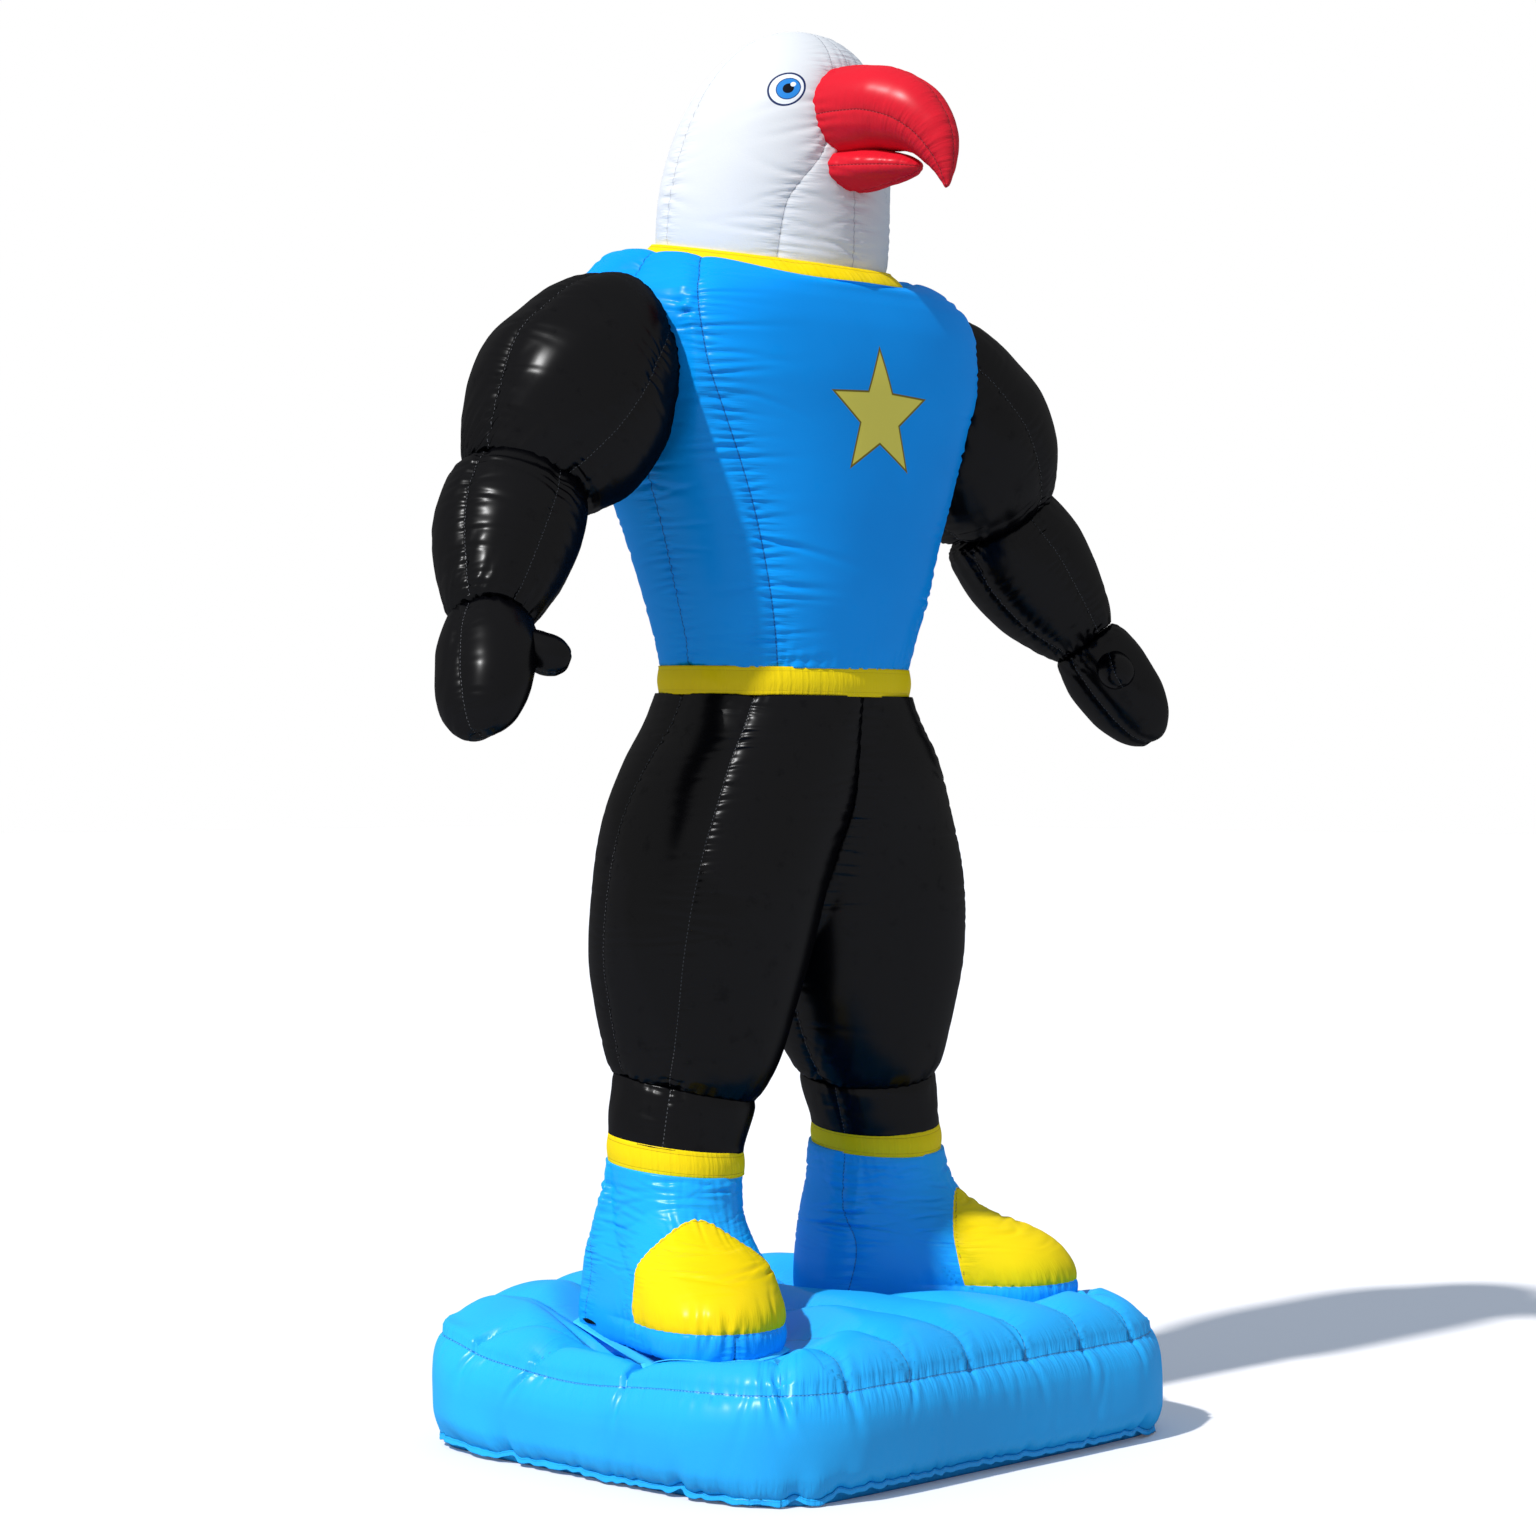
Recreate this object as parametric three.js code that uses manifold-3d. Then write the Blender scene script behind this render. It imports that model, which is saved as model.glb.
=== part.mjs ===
// Inflatable eagle figure standing on a mattress base, in millimetres, +Z up.
// The figure faces -Y, its right hand is at -X. The origin is the middle of the base's underside.
// Every chamber is a loft of sections named in a short table; right and left pieces are mirror copies.

import * as THREE from 'three';
import { mergeVertices } from 'three/addons/utils/BufferGeometryUtils.js';
import Module from 'manifold-3d';

const wasm = await Module();
wasm.setup();

// ---------------------------------------------------------------- driving sizes
const GAP = 0.3;            // clearance between two sewn pieces
const FIGURE_Y = 66;        // the figure stands this far behind the middle of the base
const BASE = {
  halfX: 675, halfY: 586,   // greatest half width and half depth
  corner: 270,              // corner radius seen from above
  seamZ: 217,               // height of the seam round the top panel
  seamInset: 28,            // the seam lies this far inside the greatest outline
  crown: 102,               // rise of the top panel above its seam
  pitch: 180,               // width of one sewn channel, counted along X from the middle
  channelDepth: 20,         // depth of the sewn line between two channels
  tuckDepth: 12,            // depth of the short tucks along the side edges
  tucks: [-150, 135, 325],  // where those tucks lie along Y
  fullness: 14,             // how square the crown is: more stays full closer to the seam
  channelReach: 30,         // how wide the hollow along a sewn line is
  tuckReach: 22,            // how wide the hollow along a tuck is
  dipReach: 100,            // how far beside a boot the panel rises to its full height
  sunk: 6,                  // how deep a sole sits in the panel
};
const BOOT = { splay: 29 * Math.PI / 180, ankleX: 311, soleZ: 250 };
// Seams round a leg: height and place of the middle, rise towards the back and towards the outside.
const CUFF_SEAM = { z: 596, across: 310, deep: -3, tilt: 0.10, lean: 0.03 };
const CUFF_TOP = { z: 646, across: 309, deep: -1, tilt: 0.11, lean: 0.08 };
const HEM = { z: 758, across: 284, deep: 0, tilt: 0.14, lean: 0.15 };
const WAIST = { legTop: 1582, beltTop: 1638, y: -20, tilt: 0.02 };
const COLLAR = { z: 2480, tilt: Math.tan(9.7 * Math.PI / 180), height: 36 };

const COLOUR = {
  base: 0x29a0f2, blue: 0x1e86e4, yellow: 0xf3d40f, black: 0x17181c, white: 0xf2f2f2, red: 0xd82a32,
};

// ---------------------------------------------------------------- section tables (figure's own axes)
// across: centre x, deep: centre y, a / b: half width / half depth, power: 2 is an ellipse, more is squarer,
// tilt: rise of the section plane towards the back, lean: its rise towards the outside of a left piece.
const columns = (names, rows) => rows.map(row => Object.fromEntries(names.map((name, i) => [name, row[i]])));

const TORSO = columns(['z', 'deep', 'a', 'b', 'power', 'tilt'], [
  [WAIST.beltTop + GAP, WAIST.y, 297, 238, 2.0, WAIST.tilt],
  [1700, -24, 312, 247, 2.1, 0.01],
  [1780, -27, 338, 258, 2.2, 0.01],
  [1916, -21, 372, 270, 2.4, 0.01],
  [2040, -12, 412, 284, 2.6, 0.01],
  [2150, -5, 449, 293, 2.8, 0.02],
  [2260, 2, 479, 299, 3.0, 0.03],
  [2355, 7, 482, 296, 3.0, 0.05],
  [2418, 10, 467, 289, 2.9, 0.08],
  [2458, 12, 431, 284, 2.7, 0.12],
  [2480, 14, 378, 283, 2.4, 0.155],
  [2490, 15, 334, 284, 2.1, 0.168],
  [COLLAR.z - GAP, 15, 283, 281, 2.0, COLLAR.tilt],
]);

const NECK_TRIM = columns(['z', 'deep', 'a', 'b', 'power', 'tilt'], [
  [COLLAR.z, 15, 279, 280, 2.0, COLLAR.tilt],
  [COLLAR.z + COLLAR.height / 2, 17, 273, 270, 2.0, COLLAR.tilt],
  [COLLAR.z + COLLAR.height - GAP, 20, 262, 248, 2.0, COLLAR.tilt],
]);

const HEAD = columns(['z', 'deep', 'a', 'b', 'power', 'tilt'], [
  [COLLAR.z + COLLAR.height, 20, 259, 243, 2.0, COLLAR.tilt],
  [2610, 15, 255, 243, 2.0, 0.10],
  [2690, 4, 245, 240, 2.0, 0.05],
  [2770, -8, 228, 231, 2.0, 0.02],
  [2840, -20, 204, 212, 2.0, 0.00],
  [2900, -31, 170, 181, 2.0, 0.00],
  [2948, -40, 128, 138, 2.0, 0.00],
  [2982, -46, 76, 84, 2.0, 0.00],
  [3000, -49, 0, 0, 2.0, 0.00],
]);

const BELT = columns(['z', 'deep', 'a', 'b', 'power', 'tilt'], [
  [WAIST.legTop, WAIST.y, 299, 239, 2.0, WAIST.tilt],
  [(WAIST.legTop + WAIST.beltTop) / 2, WAIST.y, 304, 243, 2.0, WAIST.tilt],
  [WAIST.beltTop, WAIST.y, 299, 239, 2.0, WAIST.tilt],
]);

const LEG = columns(['z', 'across', 'deep', 'a', 'b', 'power', 'tilt', 'lean'], [
  [HEM.z + GAP, HEM.across, HEM.deep, 149, 149, 2.0, HEM.tilt, HEM.lean],
  [787, 279, -1, 167, 167, 2.0, 0.12, 0.13],
  [835, 268, -3, 186, 186, 2.0, 0.08, 0.08],
  [927, 256, -5, 211, 211, 2.0, 0.02, 0.02],
  [1035, 244, -7, 236, 233, 2.0, 0, 0],
  [1142, 226, -9, 250, 242, 2.0, 0, 0],
  [1250, 196, -11, 260, 244, 2.1, 0, 0],
  [1357, 146, -13, 275, 244, 2.2, 0, 0],
  [1443, 112, -15, 263, 242, 2.2, 0, 0],
  [1520, 76, -17, 246, 240, 2.1, 0.01, 0],
  [WAIST.legTop - GAP, 40, WAIST.y, 259, 237, 2.0, WAIST.tilt, 0],
]);

// A boot's sections run from heel to toe along its own length; u counts from the ankle towards the toe.
// half, outer and toeHalf are the half widths behind on the inside and outside, and in front;
// heelRound and toeRound are the lengths of the round ends.
const BOOT_ROWS = columns([
  'z', 'heel', 'toe', 'half', 'outer', 'toeHalf', 'heelRound', 'toeRound', 'tilt', 'lean',
], [
  [BOOT.soleZ, -162, 428, 148, 172, 122, 120, 140, 0, 0],
  [BOOT.soleZ + 14, -178, 444, 169, 191, 141, 142, 160, 0, 0],
  [BOOT.soleZ + 48, -182, 450, 173, 196, 148, 150, 172, 0, 0],
  [BOOT.soleZ + 88, -180, 443, 170, 193, 149, 152, 182, 0, 0],
  [BOOT.soleZ + 126, -176, 418, 166, 188, 147, 152, 196, 0, 0],
  [BOOT.soleZ + 160, -172, 366, 162, 183, 145, 152, 210, 0, 0],
  [BOOT.soleZ + 188, -168, 294, 157, 178, 143, 152, 210, 0, 0],
  [BOOT.soleZ + 224, -162, 224, 151, 169, 140, 150, 190, 0.02, 0.01],
  [BOOT.soleZ + 276, -152, 175, 142, 155, 136, 146, 168, 0.06, 0.02],
  [CUFF_SEAM.z - GAP, -146, 150, 138, 142, 138, 146, 150, CUFF_SEAM.tilt, CUFF_SEAM.lean],
]);
// The toe cap takes everything ahead of a leaning plane (at u = behind, on the sole) and above the sole band.
const TOE_CAP = {
  behind: 232, aboveZ: BOOT.soleZ + 60, lean: 0.25,
  aheadOfAll: 700, besideAll: 260, tall: 400,
};

const BAND_COLUMNS = ['z', 'across', 'deep', 'a', 'b', 'tilt', 'lean'];
const CUFF = columns(BAND_COLUMNS, [
  [CUFF_SEAM.z, CUFF_SEAM.across, CUFF_SEAM.deep, 141, 146, CUFF_SEAM.tilt, CUFF_SEAM.lean],
  [(CUFF_SEAM.z + CUFF_TOP.z) / 2, 310, -2, 145, 148, 0.105, 0.055],
  [CUFF_TOP.z - GAP, CUFF_TOP.across, CUFF_TOP.deep, 143, 144, CUFF_TOP.tilt, CUFF_TOP.lean],
]);

const ANKLE = columns(BAND_COLUMNS, [
  [CUFF_TOP.z, CUFF_TOP.across, CUFF_TOP.deep, 141, 142, CUFF_TOP.tilt, CUFF_TOP.lean],
  [(CUFF_TOP.z + HEM.z) / 2, 297, 0, 146, 146, 0.125, 0.115],
  [HEM.z, HEM.across, HEM.deep, 147, 147, HEM.tilt, HEM.lean],
]);

// Arms run along a path: centre x, y, z of each section and its radius; flat: depth over width.
const UPPER_ARM = columns(['x', 'y', 'z', 'r', 'flat'], [
  [400, 0, 2393, 0, 1],
  [412, 0, 2381, 82, 1],
  [440, 0, 2351, 133, 1],
  [484, 0, 2305, 168, 1],
  [540, 0, 2245, 194, 1],
  [594, 1, 2180, 212, 1],
  [645, 3, 2112, 203, 1],
  [696, 5, 2048, 171, 1],
  [733, 6, 1994, 128, 1],
]);
const FOREARM = columns(['x', 'y', 'z', 'r', 'flat'], [
  [733.2, 5.9, 1993.4, 128, 1],
  [756, -2, 1958, 143, 1],
  [792, -20, 1905, 149, 1],
  [838, -47, 1835, 137, 1],
  [880, -77, 1772, 111, 1],
  [915.8, -105.8, 1716.5, 78, 1],
]);
const HAND = columns(['x', 'y', 'z', 'r', 'flat'], [
  [916.2, -106.2, 1715.7, 78, 1],
  [935, -121, 1683, 96, 0.90],
  [960, -142, 1637, 107, 0.84],
  [988, -166, 1587, 104, 0.80],
  [1016, -188, 1538, 86, 0.78],
  [1036, -203, 1503, 54, 0.78],
  [1046, -211, 1483, 0, 0.78],
]);
const THUMB = columns(['x', 'y', 'z', 'r', 'flat'], [
  [925, -170, 1668, 0, 1],
  [916, -180, 1665, 26, 1],
  [898, -202, 1656, 37, 1],
  [880, -224, 1643, 37, 1],
  [866, -240, 1629, 26, 1],
  [860, -246, 1622, 0, 1],
]);

// The beak's sections lie in planes across its curve: y and z of the centre, half width and half height.
const BEAK_UPPER = columns(['y', 'z', 'half', 'tall'], [
  [-165, 2800, 108, 104],
  [-230, 2805, 104, 100],
  [-300, 2803, 94, 92],
  [-368, 2786, 79, 80],
  [-425, 2752, 60, 64],
  [-462, 2704, 40, 45],
  [-480, 2652, 21, 24],
  [-483, 2612, 0, 0],
]);
const BEAK_LOWER = columns(['y', 'z', 'half', 'tall'], [
  [-165, 2688, 88, 50],
  [-240, 2684, 82, 46],
  [-310, 2680, 66, 38],
  [-366, 2676, 46, 27],
  [-402, 2672, 24, 15],
  [-418, 2670, 0, 0],
]);

const SIDES = { torso: 32, head: 28, leg: 26, boot: 26, band: 28, arm: 22, hand: 16, thumb: 10, beak: 16 };

// ---------------------------------------------------------------- geometry helpers
// A closed mesh from rings of equal length. A ring of zero size becomes a pole, other ends get a flat fan.
function closedLoft(rings) {
  const points = [];
  const faces = [];
  const starts = rings.map(ring => {
    const start = points.length;
    const isPole = ring.every(p => p.distanceTo(ring[0]) < 1e-6);
    points.push(...(isPole ? [ring[0]] : ring));
    return { start, count: isPole ? 1 : ring.length };
  });
  for (let i = 0; i + 1 < rings.length; i++) {
    const low = starts[i];
    const high = starts[i + 1];
    const sides = Math.max(low.count, high.count);
    for (let k = 0; k < sides; k++) {
      const next = (k + 1) % sides;
      const at = (ring, n) => ring.start + (ring.count === 1 ? 0 : n);
      if (low.count > 1) faces.push([at(low, k), at(low, next), at(high, k)]);
      if (high.count > 1) faces.push([at(low, next), at(high, next), at(high, k)]);
    }
  }
  const cap = (ring, firstEnd) => {
    if (ring.count === 1) return;
    const middle = new THREE.Vector3();
    for (let k = 0; k < ring.count; k++) middle.add(points[ring.start + k]);
    const hub = points.push(middle.divideScalar(ring.count)) - 1;
    for (let k = 0; k < ring.count; k++) {
      const here = ring.start + k;
      const next = ring.start + (k + 1) % ring.count;
      faces.push(firstEnd ? [hub, next, here] : [hub, here, next]);
    }
  };
  cap(starts[0], true);
  cap(starts.at(-1), false);
  return meshGeometry(points, faces);
}

function meshGeometry(points, faces) {
  const geometry = new THREE.BufferGeometry();
  geometry.setAttribute('position', new THREE.Float32BufferAttribute(points.flatMap(p => [p.x, p.y, p.z]), 3));
  geometry.setIndex(faces.flat());
  return geometry;
}

// One turn of a super-ellipse, counter-clockwise seen from above.
function superEllipse(a, b, power, sides) {
  return Array.from({ length: sides }, (_, k) => {
    const angle = (2 * Math.PI * k) / sides;
    const c = Math.cos(angle);
    const s = Math.sin(angle);
    return [a * Math.sign(c) * Math.abs(c) ** (2 / power), b * Math.sign(s) * Math.abs(s) ** (2 / power)];
  });
}

// Level or tilted sections stacked upwards. grow widens every section.
function stackedLoft(rows, sides, grow = 0) {
  return closedLoft(rows.map(row => {
    const { across = 0, deep = 0, tilt = 0, lean = 0, power = 2 } = row;
    return superEllipse(row.a + grow, row.b + grow, power, sides)
      .map(([x, y]) => new THREE.Vector3(across + x, deep + y, row.z + tilt * y + lean * x));
  }));
}

// Round sections strung along a path and square to it. The width lies along the given side direction.
// before and after are the neighbouring rows of the next chambers, so that a shared seam has one plane.
function pathLoft(rows, sides, widthDirection, halfSizes, options = {}) {
  const { grow = 0, before = rows[0], after = rows.at(-1) } = options;
  const centreOf = row => new THREE.Vector3(row.x ?? 0, row.y, row.z);
  const centres = rows.map(centreOf);
  return closedLoft(rows.map((row, i) => {
    const ahead = i + 1 < rows.length ? centres[i + 1] : centreOf(after);
    const behind = i > 0 ? centres[i - 1] : centreOf(before);
    const along = ahead.clone().sub(behind).normalize();
    const thick = along.clone().cross(widthDirection).normalize();
    const wide = thick.clone().cross(along);
    const [halfWide, halfThick] = halfSizes(row).map(size => (size > 0 ? size + grow : 0));
    return superEllipse(halfWide, halfThick, 2, sides)
      .map(([w, t]) => centres[i].clone().addScaledVector(wide, w).addScaledVector(thick, t));
  }));
}

// ---------------------------------------------------------------- joining and cutting
function toSolid(geometry) {
  const merged = geometry.clone();
  merged.deleteAttribute('normal');
  merged.deleteAttribute('uv');
  const welded = mergeVertices(merged, 1e-4);
  return new wasm.Manifold(new wasm.Mesh({
    numProp: 3,
    vertProperties: new Float32Array(welded.attributes.position.array),
    triVerts: new Uint32Array(welded.index.array),
  }));
}

function toGeometry(solid) {
  const { vertProperties, triVerts } = solid.getMesh();
  const geometry = new THREE.BufferGeometry();
  geometry.setAttribute('position', new THREE.BufferAttribute(new Float32Array(vertProperties), 3));
  geometry.setIndex(new THREE.BufferAttribute(new Uint32Array(triVerts), 1));
  return geometry;
}

const cut = (geometry, ...tools) => toGeometry(
  tools.reduce((solid, tool) => solid.subtract(toSolid(tool)), toSolid(geometry)));
const common = (geometry, tool) => toGeometry(toSolid(geometry).intersect(toSolid(tool)));

function mirrored(geometry) {
  const copy = geometry.clone();
  const position = copy.attributes.position;
  for (let i = 0; i < position.count; i++) position.setX(i, -position.getX(i));
  const index = copy.index.array;
  for (let i = 0; i < index.length; i += 3) [index[i + 1], index[i + 2]] = [index[i + 2], index[i + 1]];
  return copy;
}

// ---------------------------------------------------------------- base mattress
// The outline of a rounded rectangle: how far it is from the middle in a direction.
function outlineReach(dx, dy, halfX, halfY, corner) {
  const toEdge = Math.min(halfX / Math.abs(dx || 1e-9), halfY / Math.abs(dy || 1e-9));
  const cornerX = halfX - corner;
  const cornerY = halfY - corner;
  const [x, y] = [Math.abs(dx) * toEdge, Math.abs(dy) * toEdge];
  if (x <= cornerX || y <= cornerY) return toEdge;
  const along = Math.abs(dx) * cornerX + Math.abs(dy) * cornerY;
  const length2 = dx * dx + dy * dy;
  const offset2 = cornerX * cornerX + cornerY * cornerY - corner * corner;
  return (along + Math.sqrt(along * along - length2 * offset2)) / length2;
}

const smooth = t => {
  const held = Math.min(1, Math.max(0, t));
  return held * held * (3 - 2 * held);
};
const valley = (distance, reach) => Math.exp(-Math.abs(distance) / reach);

// Distance in the base's plan from the middle line of the nearer boot, between its round ends.
function distanceToBoot(x, y) {
  const sole = BOOT_ROWS[0];
  const line = new THREE.Line3(
    bootPoint(sole.heel + sole.heelRound, 0, 0), bootPoint(sole.toe - sole.toeRound, 0, 0));
  const point = new THREE.Vector3(Math.abs(x), y - FIGURE_Y, 0);
  return line.closestPointToPoint(point, true, new THREE.Vector3()).distanceTo(point);
}

// Height of the top panel; rim is 0 in the middle and 1 on the seam round the panel.
function topHeight(x, y, rim) {
  const offSeam = Math.abs(x / BASE.pitch + 0.5 - Math.round(x / BASE.pitch + 0.5)) * BASE.pitch;
  const fullNearRim = 1 - rim ** BASE.fullness;
  const channel = valley(offSeam, BASE.channelReach) * Math.min(1, 0.35 + (1 - rim) * 5);
  const nearSides = smooth((Math.abs(x) / BASE.halfX - 0.55) / 0.3) * fullNearRim;
  const tuck = nearSides * Math.max(...BASE.tucks.map(place => valley(y - place, BASE.tuckReach)));
  const crest = BASE.seamZ + BASE.crown * Math.sqrt(fullNearRim)
    - BASE.channelDepth * channel - BASE.tuckDepth * tuck;
  const pressed = 1 - smooth((distanceToBoot(x, y) - BOOT_ROWS[0].half) / BASE.dipReach);
  return crest + (BOOT.soleZ + BASE.sunk - crest) * pressed;
}

// Side wall below the seam: inset is measured in from the greatest outline.
const BASE_WALL = columns(['z', 'inset'], [
  [168, 5],
  [92, 0],
  [42, 13],
  [20, 28],
  [13, 22],
  [6, 44],
  [0, 50],
]);

function baseMattress() {
  const points = [];
  const faces = [];
  // A point of the unit square laid into the rounded outline; the outline draws in less at the corners.
  const place = (s, t, inset) => {
    const rim = Math.max(Math.abs(s), Math.abs(t));
    const atCorner = smooth((Math.min(Math.abs(s), Math.abs(t)) - 0.6) / 0.3);
    const drawn = inset * (1 - 0.5 * atCorner);
    const halfX = BASE.halfX - drawn;
    const halfY = BASE.halfY - drawn;
    const [x, y] = [s * halfX, t * halfY];
    if (rim < 1e-6) return { x, y, rim };
    const reach = outlineReach(x / rim, y / rim, halfX, halfY, BASE.corner);
    const pull = 1 - (1 - reach) * rim ** 3;
    return { x: x * pull, y: y * pull, rim };
  };
  const innerHalf = BASE.halfX - BASE.seamInset;
  const quarter = BASE.pitch / 4 / innerHalf;
  const quarters = Math.floor(1 / quarter);
  const acrossSteps = [
    -1, ...Array.from({ length: 2 * quarters + 1 }, (_, k) => (k - quarters) * quarter), 1,
  ];
  const deepSteps = [-1, -0.94, -0.82, -0.65, -0.44, -0.22, 0, 0.22, 0.44, 0.65, 0.82, 0.94, 1];
  const [nx, ny] = [acrossSteps.length - 1, deepSteps.length - 1];
  const grid = deepSteps.flatMap(t => acrossSteps.map(s => {
    const { x, y, rim } = place(s, t, BASE.seamInset);
    return points.push(new THREE.Vector3(x, y, topHeight(x, y, rim))) - 1;
  }));
  const at = (i, j) => grid[j * (nx + 1) + i];
  for (let j = 0; j < ny; j++) {
    for (let i = 0; i < nx; i++) {
      faces.push([at(i, j), at(i + 1, j), at(i + 1, j + 1)], [at(i, j), at(i + 1, j + 1), at(i, j + 1)]);
    }
  }
  // The rim once round, counter-clockwise from above.
  const rim = [
    ...acrossSteps.slice(0, -1).map((_, i) => [i, 0]),
    ...deepSteps.slice(0, -1).map((_, j) => [nx, j]),
    ...acrossSteps.slice(0, -1).map((_, i) => [nx - i, ny]),
    ...deepSteps.slice(0, -1).map((_, j) => [0, ny - j]),
  ];
  let above = rim.map(([i, j]) => at(i, j));
  for (const { z, inset } of BASE_WALL) {
    const ring = rim.map(([i, j]) => {
      const { x, y } = place(acrossSteps[i], deepSteps[j], inset);
      return points.push(new THREE.Vector3(x, y, z)) - 1;
    });
    ring.forEach((here, k) => {
      const next = (k + 1) % ring.length;
      faces.push([here, ring[next], above[next]], [here, above[next], above[k]]);
    });
    above = ring;
  }
  const hub = points.push(new THREE.Vector3(0, 0, 0)) - 1;
  above.forEach((here, k) => faces.push([hub, above[(k + 1) % above.length], here]));
  return meshGeometry(points, faces);
}

// ---------------------------------------------------------------- boots
// Left boot in the figure's axes; u runs from the ankle to the toe, turned outwards by the splay.
function bootPoint(u, v, z) {
  const [c, s] = [Math.cos(BOOT.splay), Math.sin(BOOT.splay)];
  return new THREE.Vector3(BOOT.ankleX + u * s + v * c, -u * c + v * s, z);
}

function bootLoft(grow = 0) {
  return closedLoft(BOOT_ROWS.map((row, i) => superEllipse(1, 1, 2, SIDES.boot).map(([v, u]) => {
    const inFront = u < 0;
    const half = (inFront ? row.toeHalf : v > 0 ? row.outer : row.half) + grow;
    const end = inFront ? row.toe - row.toeRound * (1 + u) : row.heel + row.heelRound * (1 - u);
    const point = bootPoint(end - Math.sign(u) * grow, v * half, row.z - (i === 0 ? grow : 0));
    point.z += row.tilt * (point.y - CUFF_SEAM.deep) + row.lean * (point.x - CUFF_SEAM.across);
    return point;
  })));
}

// The block that shares the toe cap with the boot.
function toeBlock(grow) {
  const { aheadOfAll, besideAll, tall, lean } = TOE_CAP;
  const behind = TOE_CAP.behind - grow;
  const floor = TOE_CAP.aboveZ - grow;
  const plan = rear => [
    [rear, -besideAll], [aheadOfAll, -besideAll], [aheadOfAll, besideAll], [rear, besideAll],
  ];
  return closedLoft([
    plan(behind).map(([u, v]) => bootPoint(u, v, floor)),
    plan(behind - lean * tall).map(([u, v]) => bootPoint(u, v, floor + tall)),
  ]);
}

// ---------------------------------------------------------------- assembly
const figure = new THREE.Group();
figure.position.y = FIGURE_Y;
const model = new THREE.Group();
model.add(figure);

function addPiece(parent, name, colour, geometry) {
  const bare = geometry.clone();
  bare.computeVertexNormals();
  const material = new THREE.MeshStandardMaterial({ color: colour, roughness: 0.38, metalness: 0 });
  const mesh = new THREE.Mesh(bare, material);
  mesh.name = name;
  parent.add(mesh);
}

// The given shape is the left piece, at +X. A room that is given is cut from both pieces.
function addPair(name, colour, leftGeometry, room) {
  const fitted = geometry => (room ? cut(geometry, room) : geometry);
  addPiece(figure, `${name}_left`, colour, fitted(leftGeometry));
  addPiece(figure, `${name}_right`, colour, fitted(mirrored(leftGeometry)));
}

const X_AXIS = new THREE.Vector3(1, 0, 0);
const Y_AXIS = new THREE.Vector3(0, 1, 0);
const roundSizes = row => [row.r, row.r * row.flat];
const beakSizes = row => [row.half, row.tall];

const bootRoom = bootLoft(GAP).translate(0, FIGURE_Y, 0);
addPiece(model, 'base', COLOUR.base, cut(baseMattress(), bootRoom, mirrored(bootRoom)));

const boot = bootLoft();
addPair('boot', COLOUR.blue, cut(boot, toeBlock(GAP)));
addPair('toe_cap', COLOUR.yellow, common(boot, toeBlock(0)));
addPair('cuff', COLOUR.yellow, stackedLoft(CUFF, SIDES.arm));
addPair('ankle', COLOUR.black, stackedLoft(ANKLE, SIDES.arm));

// The two trouser legs meet along the centre seam: points past it are laid flat on it.
function trouserLeg() {
  const geometry = stackedLoft(LEG, SIDES.leg);
  const position = geometry.attributes.position;
  for (let i = 0; i < position.count; i++) position.setX(i, Math.max(position.getX(i), GAP / 2));
  return geometry;
}
addPair('leg', COLOUR.black, trouserLeg());

addPiece(figure, 'belt', COLOUR.yellow, stackedLoft(BELT, SIDES.band));
addPiece(figure, 'torso', COLOUR.blue, stackedLoft(TORSO, SIDES.torso));
addPiece(figure, 'neck_trim', COLOUR.yellow, stackedLoft(NECK_TRIM, SIDES.band));
addPiece(figure, 'head', COLOUR.white, stackedLoft(HEAD, SIDES.head));

const headRoom = stackedLoft(HEAD, SIDES.head, GAP);
const beak = (rows, grow = 0) => pathLoft(rows, SIDES.beak, X_AXIS, beakSizes, { grow });
addPiece(figure, 'beak_upper', COLOUR.red, cut(beak(BEAK_UPPER), headRoom));
addPiece(figure, 'beak_lower', COLOUR.red, cut(beak(BEAK_LOWER), headRoom, beak(BEAK_UPPER, GAP)));

const arm = (rows, sides, options) => pathLoft(rows, sides, Y_AXIS, roundSizes, options);
const atElbow = { before: UPPER_ARM.at(-2), after: FOREARM[1] };
const atWrist = { before: FOREARM.at(-2), after: HAND[1] };
addPair('upper_arm', COLOUR.black, arm(UPPER_ARM, SIDES.arm, { after: atElbow.after }),
  stackedLoft(TORSO, SIDES.torso, GAP));
addPair('forearm', COLOUR.black, arm(FOREARM, SIDES.arm, { before: atElbow.before, after: atWrist.after }));
addPair('hand', COLOUR.black, arm(HAND, SIDES.hand, { before: atWrist.before }));
addPair('thumb', COLOUR.black,
  cut(arm(THUMB, SIDES.thumb), arm(HAND, SIDES.hand, { before: atWrist.before, grow: GAP })));

export default model;
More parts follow.
